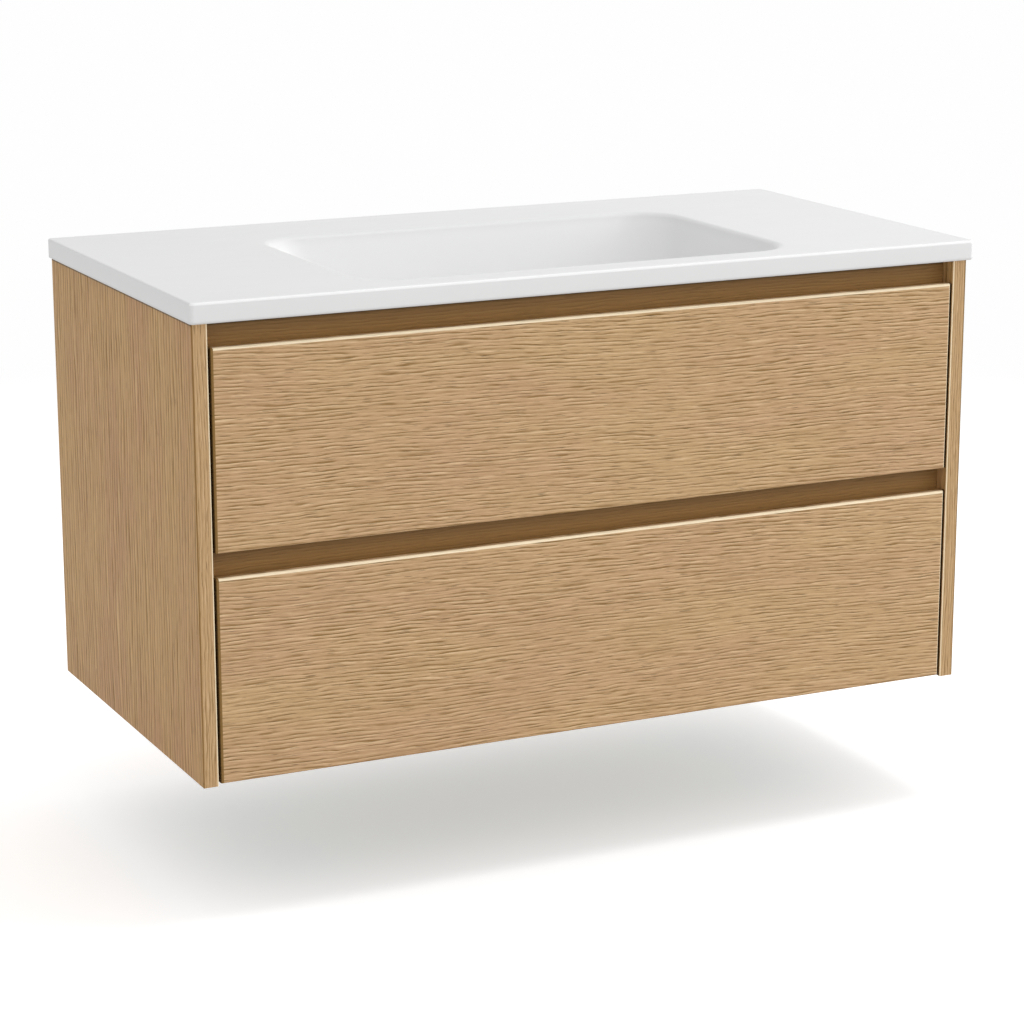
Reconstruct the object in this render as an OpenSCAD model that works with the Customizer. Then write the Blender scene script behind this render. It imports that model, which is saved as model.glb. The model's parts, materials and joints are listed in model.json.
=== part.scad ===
// Floating bathroom vanity: an integrated basin on a wall-hung oak cabinet with two drawers.
// The origin is the middle of the four wall screws, in the plane of the wall.
// +X runs to the right as seen from the room, -Y points into the room, +Z is up.

/* [Cabinet] */
// Outer width of the cabinet
carcass_w = 1000; // [900:10:1200]
// Depth of the side panels, from the wall to their front edges
carcass_d = 505; // [490:5:540]
// Height of the side panels
carcass_h = 530; // [510:5:570]
// Thickness of the side panels and rails
board_t = 18; // [16:1:19]
// Thickness of the bottom panel
bottom_t = 16; // [12:1:18]
// Thickness of the edge bands on the side panels
band_t = 1; // [0.8:0.2:2]
// Height of the two finger grooves
groove_h = 29; // [24:1:34]
// How far the groove rails stand behind the side panels' front edges
rail_setback = 23; // [21:1:28]
// How far a rail runs down behind a drawer front's top edge
rail_drop = 18; // [14:1:22]
// How far a rail runs up behind a drawer front's bottom edge
rail_rise = 12; // [8:1:16]
// Height of the rear top rail
rear_top_h = 120; // [100:5:140]
// Height of the rear bottom rail
rear_bottom_h = 100; // [70:5:120]
// Room for pipes between the wall and the rear rails
pipe_gap = 20; // [16:1:24]

/* [Basin] */
// Thickness of the basin's slab
slab_t = 24; // [18:1:30]
// Overhang of the slab past each side panel
slab_side_over = 5; // [0:1:10]
// Overhang of the slab past the drawer fronts
slab_front_over = 10; // [4:1:16]
// Radius of the slab's upright corners
slab_corner_r = 6; // [3:1:12]
// Radius of the slab's top and bottom edges
slab_edge_r = 2.5; // [1:0.5:4]
// Width of the bowl's mouth
bowl_w = 570; // [480:10:640]
// Depth of the bowl's mouth, from front to back
bowl_d = 360; // [320:10:370]
// Ledge between the slab's front edge and the bowl's mouth
bowl_front_ledge = 40; // [36:1:50]
// Depth of the bowl below the slab's top
bowl_depth = 110; // [95:1:116]
// Corner radius of the bowl's mouth
mouth_r = 56; // [40:1:70]
// Corner radius of the bowl's floor
floor_r = 70; // [50:1:90]
// Radius of the rounded lip
lip_r = 8; // [4:1:10]
// Lean of the bowl's walls from upright, in degrees
wall_lean = 22; // [15:1:26]
// Radius between the bowl's walls and floor
floor_fillet = 35; // [25:1:40]
// Wall of the bowl
shell_t = 9; // [7:0.5:10]
// Fall of the bowl's floor to the waste
floor_fall = 6; // [3:1:8]
// How far the waste lies behind the middle of the bowl
waste_back = 30; // [0:5:40]
// Depth of the hollows under the slab
pocket_depth = 10; // [6:1:12]

/* [Waste] */
// Radius of the hole through the bowl
waste_hole_r = 22.5; // [22:0.5:25]
// Outer radius of the waste's threaded tube, a G 1 1/4 thread
waste_r = 20.95; // [16:0.05:21]
// Wall of the waste's tube
waste_wall = 3; // [2:0.5:3.5]
// Radius of the flange in the bowl
flange_r = 32; // [30:1:36]
// Thickness of the flange
flange_t = 3; // [2:0.5:4]
// Free thread below the lock nut, for the trap
waste_thread = 38; // [30:1:50]
// Radius of the plug's stem
stem_r = 5; // [4:0.5:6]
// How far the plug rises when it is open
plug_travel = 8; // [6:1:10]

/* [Drawers] */
// Thickness of the drawer fronts
front_t = 18; // [16:1:19]
// Height of the upper drawer's front
upper_front_h = 231; // [215:1:240]
// Gap between a drawer front and the side panels
front_gap = 3; // [2:0.5:4]
// How far the lower front ends above the side panels' bottom edges
foot_gap = 2.5; // [1:0.5:6]
// Radius of a front's top arris
front_arris_r = 3; // [2:0.5:4]
// Radius of a front's bottom arris
front_foot_r = 1.5; // [1:0.5:2]
// Bevel behind the top edge of a front, for the fingers
grip_bevel = 8; // [5:1:10]
// Thickness of the boxes' sides
box_t = 16; // [14:1:16]
// Gap between a box and the side panels
box_gap = 6; // [5:0.5:8]
// Room between the boxes and the rear rails
box_back_room = 9; // [6:1:60]
// Room between the waste's lock nut and the top of the upper box
upper_box_room = 5; // [4:1:30]
// Room between the middle rail and the top of the lower box
lower_box_room = 25; // [10:1:70]
// Thickness of the boxes' floors
box_floor_t = 10; // [8:1:12]
// Depth of the grooves that hold the boxes' floors
box_groove = 6; // [4:1:8]
// How much shorter a drawer's travel is than its fixed rails
travel_short = 10; // [10:5:130]
// Inner width of the cut-out for the trap
trap_w = 210; // [180:10:240]
// Room in front of the waste in the cut-out
trap_front = 75; // [60:5:90]
// Corner radius of the cut-out
trap_corner_r = 60; // [40:5:70]
// Wall of the guard round the cut-out
guard_t = 8; // [5:1:10]

/* [Runners] */
// Room between the runners and the rear rails
runner_back_room = 2; // [1:1:50]
// Sheet of the runners
sheet_t = 1.5; // [1.2:0.1:1.6]
// Width of a runner's channel
channel_w = 23; // [20:1:26]
// Height of the fixed rail's channel
channel_h = 14; // [12:1:15]
// Height of the whole runner
runner_h = 26.5; // [25:0.5:29]
// Height of the flange on the side panel
runner_flange_h = 28; // [25:1:34]
// Free play between sliding pieces
play = 0.3; // [0.2:0.05:0.4]
// Space between a runner and the board below it
runner_lift = 2; // [1:0.5:4]

/* [Hangers] */
// Height of the cabinet's top above the wall screws
hang_drop = 80; // [75:1:100]
// Upright distance between a wall plate's screws
wall_hole_pitch = 32; // [25:1:32]
// Radius of the holes for the wall screws
wall_hole_r = 3.25; // [2.5:0.25:4]
// Sheet of the wall plates
plate_t = 2.5; // [2:0.5:3]
// Width of a wall plate
plate_w = 40; // [34:1:46]
// How far the plate's upper lip stands off the wall
plate_step = 16; // [14:0.5:17]
// Thickness of the hanger's hook
hook_t = 4; // [3:0.5:5]
// Width of the hanger's housing
hanger_w = 16; // [14:1:20]
// Length of the hanger's housing
hanger_len = 62; // [50:2:80]
// Height of the hanger's housing
hanger_h = 50; // [44:1:54]

/* [Hidden] */
$fn = 48;

oak = [0.72, 0.59, 0.45];
oak_shade = [0.60, 0.46, 0.32];
box_board = [0.80, 0.76, 0.70];
steel = [0.72, 0.73, 0.75];
zinc = [0.62, 0.63, 0.65];
stone = [0.92, 0.92, 0.91];
chrome = [0.80, 0.82, 0.84];
nylon = [0.86, 0.86, 0.84];
rubber = [0.12, 0.12, 0.12];
grey_plastic = [0.42, 0.43, 0.45];
beech = [0.84, 0.72, 0.55];

far = 1;                                   // how far a cut runs past the face it opens

// Heights, from the top down
top_z = hang_drop;                         // top of the side panels
slab_z = top_z + slab_t;                   // top of the basin
foot_z = top_z - carcass_h;                // bottom of the side panels
upper_top_z = top_z - groove_h;
upper_foot_z = upper_top_z - upper_front_h;
lower_top_z = upper_foot_z - groove_h;
lower_foot_z = foot_z + foot_gap;
lower_front_h = lower_top_z - lower_foot_z;
top_rail_h = groove_h + rail_drop;
mid_rail_h = rail_rise + groove_h + rail_drop;
mid_rail_z = upper_foot_z + rail_rise - mid_rail_h;
base_z = foot_z + bottom_t;                // top of the bottom panel

// Widths and depths
inner_half = carcass_w / 2 - board_t;
face_y = -carcass_d;                       // faces of the drawer fronts
rail_y = face_y + rail_setback;            // faces of the groove rails
rear_y = -pipe_gap - board_t;              // faces of the rear rails
box_front_y = face_y + front_t;
box_back_y = rear_y - box_back_room;
box_len = box_back_y - box_front_y;
box_half = inner_half - box_gap;
front_half = inner_half - front_gap;
slab_half = carcass_w / 2 + slab_side_over;
slab_front_y = face_y - slab_front_over;
bowl_y = slab_front_y + bowl_front_ledge + bowl_d / 2;
waste_y = bowl_y + waste_back;

// Runners: the rail's heights are counted up from its web
upper_runner_z = upper_foot_z + rail_rise + runner_lift;
lower_runner_z = base_z + runner_lift;
channel_room = 3;                          // between a box's side and the channel
channel_u = box_gap + box_t + channel_room;   // channel's outer face, from the side panel
runner_front_room = 1;                     // between a subfront and the runners
runner_front_y = box_front_y + box_t + runner_front_room;
runner_back_y = rear_y - runner_back_room;
runner_len = runner_back_y - runner_front_y;
drawer_travel = runner_len - travel_short;
lip_w = 4.5;
slide_gap = 0.8;                           // between the fixed rail's lips and the carrier's
slide_flange_w = 15;
slide_web_t = 1.6;
slide_foot_h = 6;                          // underside of the slide's lower flange
slide_head_h = 19.5;                       // underside of the slide's upper flange
box_hem = runner_h - channel_h - slide_gap / 2;   // how far the box hangs below its floor
half_travel = drawer_travel / 2;
glide_len = 40;
slide_end = 2;                             // how far the slides stop short of the fixed rail

// Carcass fittings
dowel_r = 4;
dowel_len = 30;
dowel_in = 11;                             // depth of a dowel in the side panel
cam_r = 7.5;
cam_depth = 12.5;
cam_back = 24;                             // cam's distance from the side panel
bolt_r = 3;
bolt_in = 11;
bolt_neck_x = 9;                           // where a bolt's thread ends and its neck begins
bolt_neck_in = 0.8;
bolt_head_t = 2.5;
cam_reach = 2.5;                           // from a bolt's end to the cam's axis
hole_spare = 1;                            // how much deeper a blind hole is than what fills it
fit_gap = 0.1;

// ---------------------------------------------------------------- helpers

// Puts a piece that is drawn on the left side panel's inner face on either side.
// Local x runs inwards from the panel.
module on_side(side) {
    if (side < 0) translate([-inner_half, 0, 0]) children();
    else mirror([1, 0, 0]) translate([-inner_half, 0, 0]) children();
}

// Carries a profile drawn in the YZ plane along X, from x to x + len.
module along_x(x, len) translate([x, 0, 0]) rotate([90, 0, 90]) linear_extrude(len) children();

// Carries a profile drawn in the XZ plane along Y, from y to y + len.
module along_y(y, len) translate([0, y + len, 0]) rotate([90, 0, 0]) linear_extrude(len) children();

module block(low, high) translate(low) cube(high - low);

// A cylinder on a line along X, from x to x + len.
module rod_x(x, y, z, r, len) translate([x, y, z]) rotate([0, 90, 0]) cylinder(r = r, h = len);

// A cylinder on a line along Y, from y to y + len.
module rod_y(x, y, z, r, len) translate([x, y + len, z]) rotate([90, 0, 0]) cylinder(r = r, h = len);

// One level of a loft: a rounded rectangle with half sides a and b, corner radius r.
corner_steps = 12;
function ring(a, b, r, y, z) = [
    for (q = [0:3], i = [0:corner_steps])
        let (t = 90 * (q + i / corner_steps),
             sx = (q == 0 || q == 3) ? 1 : -1,
             sy = (q < 2) ? 1 : -1)
        [sx * (a - r) + r * cos(t), y + sy * (b - r) + r * sin(t), z]
];

// Skins a stack of rings of equal length, from the lowest to the highest.
module loft(rings) {
    n = len(rings[0]);
    levels = len(rings);
    points = [for (one = rings) each one];
    walls = [
        for (k = [0:levels - 2], i = [0:n - 1])
            let (j = (i + 1) % n, low = k * n, high = low + n)
            each [[low + i, high + i, high + j], [low + i, high + j, low + j]]
    ];
    floor_cap = [for (i = [0:n - 1]) i];
    roof_cap = [for (i = [0:n - 1]) levels * n - 1 - i];
    polyhedron(points, concat(walls, [floor_cap, roof_cap]));
}

// ---------------------------------------------------------------- carcass

// Where rails and panels meet a side panel: [y, z of the dowel, z of the cam bolt]
near_fit = 11;                             // from a board's edge to the fitting nearest to it
next_fit = 20;                             // and to the ones further in
far_fit = 46;
rail_mid_y = rail_y + board_t / 2;
rear_mid_y = rear_y + board_t / 2;
top_joint = [rail_mid_y, top_z - near_fit, top_z - near_fit - next_fit];
mid_joint = [rail_mid_y, mid_rail_z + mid_rail_h - next_fit, mid_rail_z + next_fit];
rear_top_joint = [rear_mid_y, top_z - rear_top_h + far_fit, top_z - rear_top_h + next_fit];
rear_bottom_joint = [rear_mid_y, base_z + next_fit, base_z + rear_bottom_h - next_fit];
rail_joints = [top_joint, mid_joint, rear_top_joint, rear_bottom_joint];
floor_bolt_ys = [rail_y + 60, rear_y - 70];
floor_dowel_ys = [rail_y + 28, rear_y - 38];
floor_z = foot_z + bottom_t / 2;
runner_screw_end = 35;
runner_screw_ys = [
    runner_front_y + runner_screw_end,
    runner_front_y + runner_len / 2,
    runner_back_y - runner_screw_end
];
runner_screw_h = runner_flange_h - 5;
hanger_back_y = rear_y;
hanger_front_y = hanger_back_y - hanger_len;
plate_top = wall_hole_pitch / 2 + 14;      // top of the plate's flat part
plate_lip_z = plate_top + plate_t + 17;    // top edge of the plate's lip
hanger_z = plate_lip_z - 25;               // underside of the housing
hanger_screw_in = 10;
hanger_screw_ys = [hanger_front_y + hanger_screw_in, hanger_back_y - hanger_screw_in];
hanger_screw_z = hanger_z + hanger_screw_in - 1;

module carcass_holes(r_dowel, r_bolt, depth_dowel, depth_bolt) {
    for (joint = rail_joints) {
        rod_x(-depth_dowel, joint[0], joint[1], r_dowel, depth_dowel + far);
        rod_x(-depth_bolt, joint[0], joint[2], r_bolt, depth_bolt + far);
    }
    for (y = floor_dowel_ys) rod_x(-depth_dowel, y, floor_z, r_dowel, depth_dowel + far);
    for (y = floor_bolt_ys) rod_x(-depth_bolt, y, floor_z, r_bolt, depth_bolt + far);
}

module panel_hole(y, z)
    rod_x(-screw_in - hole_spare, y, z, screw_r + fit_gap / 2, screw_in + hole_spare + far);

module side_panel(side) color(oak) on_side(side) difference() {
    block([-board_t, face_y + band_t, foot_z], [0, 0, top_z]);
    carcass_holes(dowel_r + fit_gap / 2, bolt_r + fit_gap / 2,
                  dowel_in + hole_spare, bolt_in + hole_spare);
    for (y = runner_screw_ys, z = [upper_runner_z, lower_runner_z])
        panel_hole(y, z + runner_screw_h);
    for (y = hanger_screw_ys) panel_hole(y, hanger_screw_z);
}

module front_edge_bands() color(oak) for (side = [-1, 1]) on_side(side)
    block([-board_t, face_y, foot_z], [0, face_y + band_t, top_z]);

// Holes in the end of a board for its dowel and cam bolt, and the pocket of the cam.
// The cam opens through the board's back (dir = 1) or front (dir = -1).
dowel_out = dowel_len - dowel_in + hole_spare;
module rail_end(joint, dir) {
    rod_x(-far, joint[0], joint[1], dowel_r + fit_gap / 2, dowel_out + far);
    rod_x(-far, joint[0], joint[2], bolt_r + fit_gap, cam_back + far);
    rod_y(cam_back, joint[0] + (dir > 0 ? board_t / 2 - cam_depth : -board_t / 2 - far),
          joint[2], cam_r + fit_gap / 2, cam_depth + far);
}

module rail(y, z, h, joint, dir) difference() {
    block([-inner_half, y, z], [inner_half, y + board_t, z + h]);
    for (side = [-1, 1]) on_side(side) rail_end(joint, dir);
}

// The rail behind the upper groove is rebated behind, where the bowl's front wall hangs.
rebate_half = bowl_w / 2 + 25;
rebate_y = rail_y + 8;
rebate_z = top_z - top_rail_h + 14;
module top_front_rail() color(oak_shade) difference() {
    rail(rail_y, top_z - top_rail_h, top_rail_h, top_joint, 1);
    block([-rebate_half, rebate_y, rebate_z],
          [rebate_half, rail_y + board_t + far, top_z + far]);
}

module mid_front_rail() color(oak_shade) rail(rail_y, mid_rail_z, mid_rail_h, mid_joint, 1);

// The rear top rail is notched at both ends for the hangers' hooks.
notch_w = plate_w + 6;
notch_h = top_z - hanger_z + 5;
module rear_top_rail() color(box_board) difference() {
    rail(rear_y, top_z - rear_top_h, rear_top_h, rear_top_joint, -1);
    for (side = [-1, 1]) on_side(side)
        block([-far, rear_y - far, top_z - notch_h], [notch_w, rear_y + board_t + far, top_z + far]);
}

module rear_bottom_rail() color(box_board)
    rail(rear_y, base_z, rear_bottom_h, rear_bottom_joint, -1);

module bottom_panel() color(oak) difference() {
    block([-inner_half, rail_y, foot_z], [inner_half, 0, base_z]);
    for (side = [-1, 1]) on_side(side) {
        for (y = floor_dowel_ys)
            rod_x(-far, y, floor_z, dowel_r + fit_gap / 2, dowel_out + far);
        for (y = floor_bolt_ys) {
            rod_x(-far, y, floor_z, bolt_r + fit_gap, cam_back + far);
            translate([cam_back, y, base_z - cam_depth])
                cylinder(r = cam_r + fit_gap / 2, h = cam_depth + far);
        }
    }
}

module carcass_dowels() color(beech) for (side = [-1, 1]) on_side(side) {
    for (joint = rail_joints) rod_x(-dowel_in, joint[0], joint[1], dowel_r, dowel_len);
    for (y = floor_dowel_ys) rod_x(-dowel_in, y, floor_z, dowel_r, dowel_len);
}

// A cam bolt: its thread in the side panel, its neck and head in the rail.
bolt_head_x = cam_back - cam_reach - bolt_head_t;
module cam_bolt(y, z) {
    rod_x(-bolt_in, y, z, bolt_r, bolt_in + bolt_neck_x);
    rod_x(bolt_neck_x, y, z, bolt_r - bolt_neck_in, bolt_head_x - bolt_neck_x);
    rod_x(bolt_head_x, y, z, bolt_r, bolt_head_t);
}

module cam_bolts() color(steel) for (side = [-1, 1]) on_side(side) {
    for (joint = rail_joints) cam_bolt(joint[0], joint[2]);
    for (y = floor_bolt_ys) cam_bolt(y, floor_z);
}

// A cam: a short drum with a keyed slot in its face and a mouth for the bolt's head.
cam_mouth = 1.5;                           // how far the mouth runs past the cam's axis
cam_roof = 3;
key_len = 9;
key_w = 1.8;
module cam(h) difference() {
    cylinder(r = cam_r, h = h);
    translate([-cam_r - far, -bolt_r - fit_gap, -far])
        cube([cam_r + far + cam_mouth, 2 * (bolt_r + fit_gap), h - cam_roof + far]);
    for (turn = [45, 135]) rotate(turn) translate([-key_len / 2, -key_w / 2, h - key_w])
        cube([key_len, key_w, key_w + far]);
}

module cam_locks() color(zinc) for (side = [-1, 1]) on_side(side) {
    for (joint = [top_joint, mid_joint])
        translate([cam_back, joint[0] + board_t / 2 - cam_depth, joint[2]])
            rotate([-90, 0, 0]) cam(cam_depth);
    for (joint = [rear_top_joint, rear_bottom_joint])
        translate([cam_back, joint[0] - board_t / 2 + cam_depth, joint[2]])
            rotate([90, 0, 0]) cam(cam_depth);
    for (y = floor_bolt_ys) translate([cam_back, y, base_z - cam_depth]) cam(cam_depth);
}

// Soft bumpers between the rails and the backs of the drawer fronts.
bumper_r = 4;
bumper_u = 26;
bumper_in = bumper_r + 1;
bumper_zs = [
    top_z - top_rail_h + bumper_in,
    mid_rail_z + mid_rail_h - bumper_in,
    mid_rail_z + bumper_in,
    foot_z + bottom_t / 2 + 1
];
module front_bumpers() color(nylon) for (side = [-1, 1], z = bumper_zs) on_side(side)
    rod_y(bumper_u, box_front_y + play, z, bumper_r, rail_y - box_front_y - play);

// ---------------------------------------------------------------- hangers

plate_u = 2 + plate_w / 2;                 // middle of the wall plate, from the side panel
hook_u = hanger_w - 4 - hook_t;            // near face of the hook
hook_h = 12;
shank_front_y = hanger_back_y - 30;
hook_nose = 11;
hook_wall_room = 3;                        // between the hook and the wall
hook_play = 1.5;                           // between the hook and the plate's lip
hanger_round = 8;
adjuster_len = 23;
adjuster_slot = [4, 1.5, 1];
screw_r = 1.75;
screw_in = 12;
screw_head_r = 3.5;
screw_head_t = 1.8;
screw_bite = 0.5;                          // how far a screw's shank runs into its head

// The wall plate: flat on the wall with two holes, stepped forward above into a lip.
module wall_plate(side) color(zinc) on_side(side) difference() {
    along_x(plate_u - plate_w / 2, plate_w) {
        translate([-plate_t, -plate_top]) square([plate_t, 2 * plate_top]);
        translate([-plate_step, plate_top]) square([plate_step, plate_t]);
        translate([-plate_step, plate_top]) square([plate_t, plate_lip_z - plate_top]);
    }
    for (z = [-1, 1] * wall_hole_pitch / 2)
        rod_y(plate_u, -plate_t - far, z, wall_hole_r, plate_t + 2 * far);
}

// The hook rests on the plate's lip, and its nose hangs behind the lip.
module hanger_hook(side) color(steel) on_side(side) along_x(hook_u, hook_t) {
    nose_y = -plate_step + plate_t + hook_play;
    translate([shank_front_y, plate_lip_z]) square([-hook_wall_room - shank_front_y, hook_h]);
    translate([nose_y, plate_lip_z - hook_nose]) square([-hook_wall_room - nose_y, hook_nose]);
}

// The housing is screwed to the side panel. Its slot holds the hook, and two screws reach in
// from the front: one lifts the cabinet and one draws it to the wall.
adjuster_r = 3;
adjuster_zs = [hanger_z + hanger_h / 2 - 6, plate_lip_z + hook_h / 2];
module hanger(side) color(grey_plastic) on_side(side) difference() {
    along_x(0, hanger_w) translate([hanger_front_y, hanger_z]) difference() {
        square([hanger_len, hanger_h]);
        for (low = [0, hanger_h - hanger_round]) difference() {
            translate([0, low]) square(hanger_round);
            translate([hanger_round, low > 0 ? low : hanger_round]) circle(hanger_round);
        }
    }
    block([hook_u - play, shank_front_y - play, plate_lip_z - 6],
          [hook_u + hook_t + play, hanger_back_y + far, plate_lip_z + hook_h + play]);
    for (y = hanger_screw_ys) {
        rod_x(-far, y, hanger_screw_z, screw_r + fit_gap, hanger_w + 2 * far);
        rod_x(hanger_w - screw_head_t, y, hanger_screw_z, screw_head_r + fit_gap, screw_head_t + far);
    }
    for (z = adjuster_zs)
        rod_y(hook_u + hook_t / 2, hanger_front_y - far, z, adjuster_r + fit_gap,
              adjuster_len + hole_spare + far);
}

module panel_screw(y, z, head_x) {
    rod_x(-screw_in, y, z, screw_r, screw_in + head_x + screw_bite);
    rod_x(head_x, y, z, screw_head_r, screw_head_t);
}

module hanger_screws() color(steel) for (side = [-1, 1]) on_side(side) {
    for (y = hanger_screw_ys) panel_screw(y, hanger_screw_z, hanger_w - screw_head_t);
    for (z = adjuster_zs) difference() {
        rod_y(hook_u + hook_t / 2, hanger_front_y, z, adjuster_r, adjuster_len);
        translate([hook_u + hook_t / 2, hanger_front_y, z]) for (turn = [0, 90]) rotate([0, turn, 0])
            translate([-adjuster_slot.x / 2, -far, -adjuster_slot.z / 2])
                cube(adjuster_slot + [0, far, 0]);
    }
}

// ---------------------------------------------------------------- basin

slab_mid_y = slab_front_y / 2;

// How far the bowl's inner face stands in from its mouth, and its depth there.
// Along the lip: a convex quarter round. Then a straight lean, then a concave fillet.
lip_in = lip_r * cos(wall_lean);
lip_down = lip_r * (1 - sin(wall_lean));
fillet_down = floor_fillet * (1 - sin(wall_lean));
wall_end = bowl_depth - fillet_down;
wall_in = lip_in + (wall_end - lip_down) * tan(wall_lean);
fillet_mid_in = wall_in + floor_fillet * cos(wall_lean);
fillet_mid_down = bowl_depth - floor_fillet;
lip_steps = 5;
fillet_steps = 8;

function radius_at(inset) = mouth_r + (floor_r - mouth_r) * inset / fillet_mid_in;
function bowl_ring(inset, down, out) = ring(
    bowl_w / 2 - inset, bowl_d / 2 - inset, radius_at(inset) + out, bowl_y, slab_z - down);

// The floor ends in two round levels about the waste, each a near circle of four corners.
corner_flat = 0.2;                         // straight stretch left between two such corners
function round_level(r) = ring(r, r, r - corner_flat, waste_y, slab_z - bowl_depth - floor_fall);

bowl_rings = concat(
    [round_level(waste_hole_r + 1), round_level(flange_r + 4)],
    [for (i = [0:fillet_steps])
        let (t = 90 - (90 - wall_lean) * i / fillet_steps)
        bowl_ring(fillet_mid_in - floor_fillet * cos(t), fillet_mid_down + floor_fillet * sin(t), 0)],
    [for (i = [0:lip_steps])
        let (t = (90 - wall_lean) * (1 - i / lip_steps))
        bowl_ring(lip_r * sin(t), lip_r * (1 - cos(t)), 0)],
    [bowl_ring(0, -far, 0)]
);

// The bowl's outer face is the same curve, a wall's thickness further out.
shell_r = floor_fillet + shell_t;
shell_start = slab_t / 2;
shell_rings = concat(
    [for (i = [0:fillet_steps])
        let (t = 90 - (90 - wall_lean) * i / fillet_steps)
        bowl_ring(fillet_mid_in - shell_r * cos(t), fillet_mid_down + shell_r * sin(t), shell_t)],
    [bowl_ring(wall_in - (wall_end - shell_start) * tan(wall_lean) - shell_t / cos(wall_lean),
               shell_start, shell_t)]
);

// The slab: a rounded plate whose top and bottom edges turn through a quarter round.
edge_steps = 3;
function slab_ring(inset, z) = ring(
    slab_half - inset, -slab_mid_y - inset, slab_corner_r - inset, slab_mid_y, z);
slab_rings = concat(
    [for (i = [0:edge_steps])
        let (t = 90 * i / edge_steps)
        slab_ring(slab_edge_r * (1 - sin(t)), top_z + slab_edge_r * (1 - cos(t)))],
    [for (i = [0:edge_steps])
        let (t = 90 * i / edge_steps)
        slab_ring(slab_edge_r * (1 - cos(t)), slab_z - slab_edge_r * (1 - sin(t)))]
);

boss_r = flange_r + 10;
boss_z = slab_z - bowl_depth - floor_fall - flange_t - shell_t;
pocket_r = 12;
pocket_wall = 10;                          // of solid slab round a hollow
pocket_x = bowl_w / 2 + shell_t + pocket_wall;
pocket_far_x = inner_half - notch_w;
pocket_front_y = rail_y + board_t + pocket_wall;
pocket_back_y = rear_y - pocket_wall;

module pocket_outline() {
    low = [pocket_x, pocket_front_y];
    high = [pocket_far_x, pocket_back_y];
    translate([low.x + pocket_r, low.y]) square([high.x - low.x - 2 * pocket_r, high.y - low.y]);
    translate([low.x, low.y + pocket_r]) square([high.x - low.x, high.y - low.y - 2 * pocket_r]);
    for (x = [low.x + pocket_r, high.x - pocket_r], y = [low.y + pocket_r, high.y - pocket_r])
        translate([x, y]) circle(pocket_r);
}

module basin() color(stone) difference() {
    union() {
        loft(slab_rings);
        loft(shell_rings);
        translate([0, waste_y, boss_z]) cylinder(r = boss_r, h = slab_z - bowl_depth - boss_z - 1);
    }
    loft(bowl_rings);
    translate([0, waste_y, boss_z - far]) cylinder(r = waste_hole_r, h = slab_z - boss_z);
    translate([0, waste_y, boss_z + shell_t]) cylinder(r = flange_r + play, h = slab_z - boss_z);
    for (side = [0, 1]) mirror([side, 0, 0]) translate([0, 0, top_z - far])
        linear_extrude(pocket_depth + far) pocket_outline();
}

// ---------------------------------------------------------------- waste

flange_z = boss_z + shell_t;               // seat of the flange in the bowl
flange_seal_t = 0.5;
under_seal_t = 3;
nut_h = 8;
nut_r = 27;
nut_z = boss_z - under_seal_t - nut_h;
waste_foot_z = nut_z - waste_thread;
relief_h = 2;
relief_in = 0.8;
waste_bore_r = waste_r - waste_wall;
mouth_flare = 2;                           // width and height of the flare at the waste's mouth
hub_r = stem_r + 3;
hub_h = 14;
hub_z = flange_z - 24;
spoke_t = 2;
running = 0.05;

module waste_body() color(chrome) translate([0, waste_y, 0]) {
    difference() {
        union() {
            translate([0, 0, flange_z + flange_seal_t])
                cylinder(r = flange_r, h = flange_t - flange_seal_t);
            translate([0, 0, waste_foot_z]) cylinder(r = waste_r, h = flange_z + flange_t - waste_foot_z);
        }
        translate([0, 0, waste_foot_z - far])
            cylinder(r = waste_bore_r, h = flange_z + flange_t - waste_foot_z + 2 * far);
        translate([0, 0, flange_z + flange_t - mouth_flare])
            cylinder(r1 = waste_bore_r, r2 = waste_bore_r + mouth_flare + far, h = mouth_flare + far);
        // the thread's run-out, just under the lock nut
        translate([0, 0, nut_z - 1 - relief_h]) difference() {
            cylinder(r = waste_r + far, h = relief_h);
            translate([0, 0, -far]) cylinder(r = waste_r - relief_in, h = relief_h + 2 * far);
        }
    }
    difference() {
        union() {
            translate([0, 0, hub_z]) cylinder(r = hub_r, h = hub_h);
            intersection() {
                translate([0, 0, hub_z]) cylinder(r = waste_bore_r + 1, h = hub_h);
                for (turn = [0, 60, 120]) rotate(turn)
                    translate([-waste_r, -spoke_t / 2, hub_z]) cube([2 * waste_r, spoke_t, hub_h]);
            }
        }
        translate([0, 0, hub_z - far]) cylinder(r = stem_r + running, h = hub_h + 2 * far);
    }
}

module waste_seals() color(rubber) translate([0, waste_y, 0]) {
    difference() {
        translate([0, 0, flange_z]) cylinder(r = flange_r - 1, h = flange_seal_t);
        translate([0, 0, flange_z - far]) cylinder(r = waste_r + play, h = flange_seal_t + 2 * far);
    }
    difference() {
        translate([0, 0, boss_z - under_seal_t]) cylinder(r = nut_r + 3, h = under_seal_t);
        translate([0, 0, boss_z - under_seal_t - far])
            cylinder(r = waste_r + play, h = under_seal_t + 2 * far);
    }
}

module waste_nut() color(chrome) translate([0, waste_y, nut_z]) difference() {
    cylinder(r = nut_r, h = nut_h, $fn = 6);
    translate([0, 0, -far]) cylinder(r = waste_r + fit_gap, h = nut_h + 2 * far);
}

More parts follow.
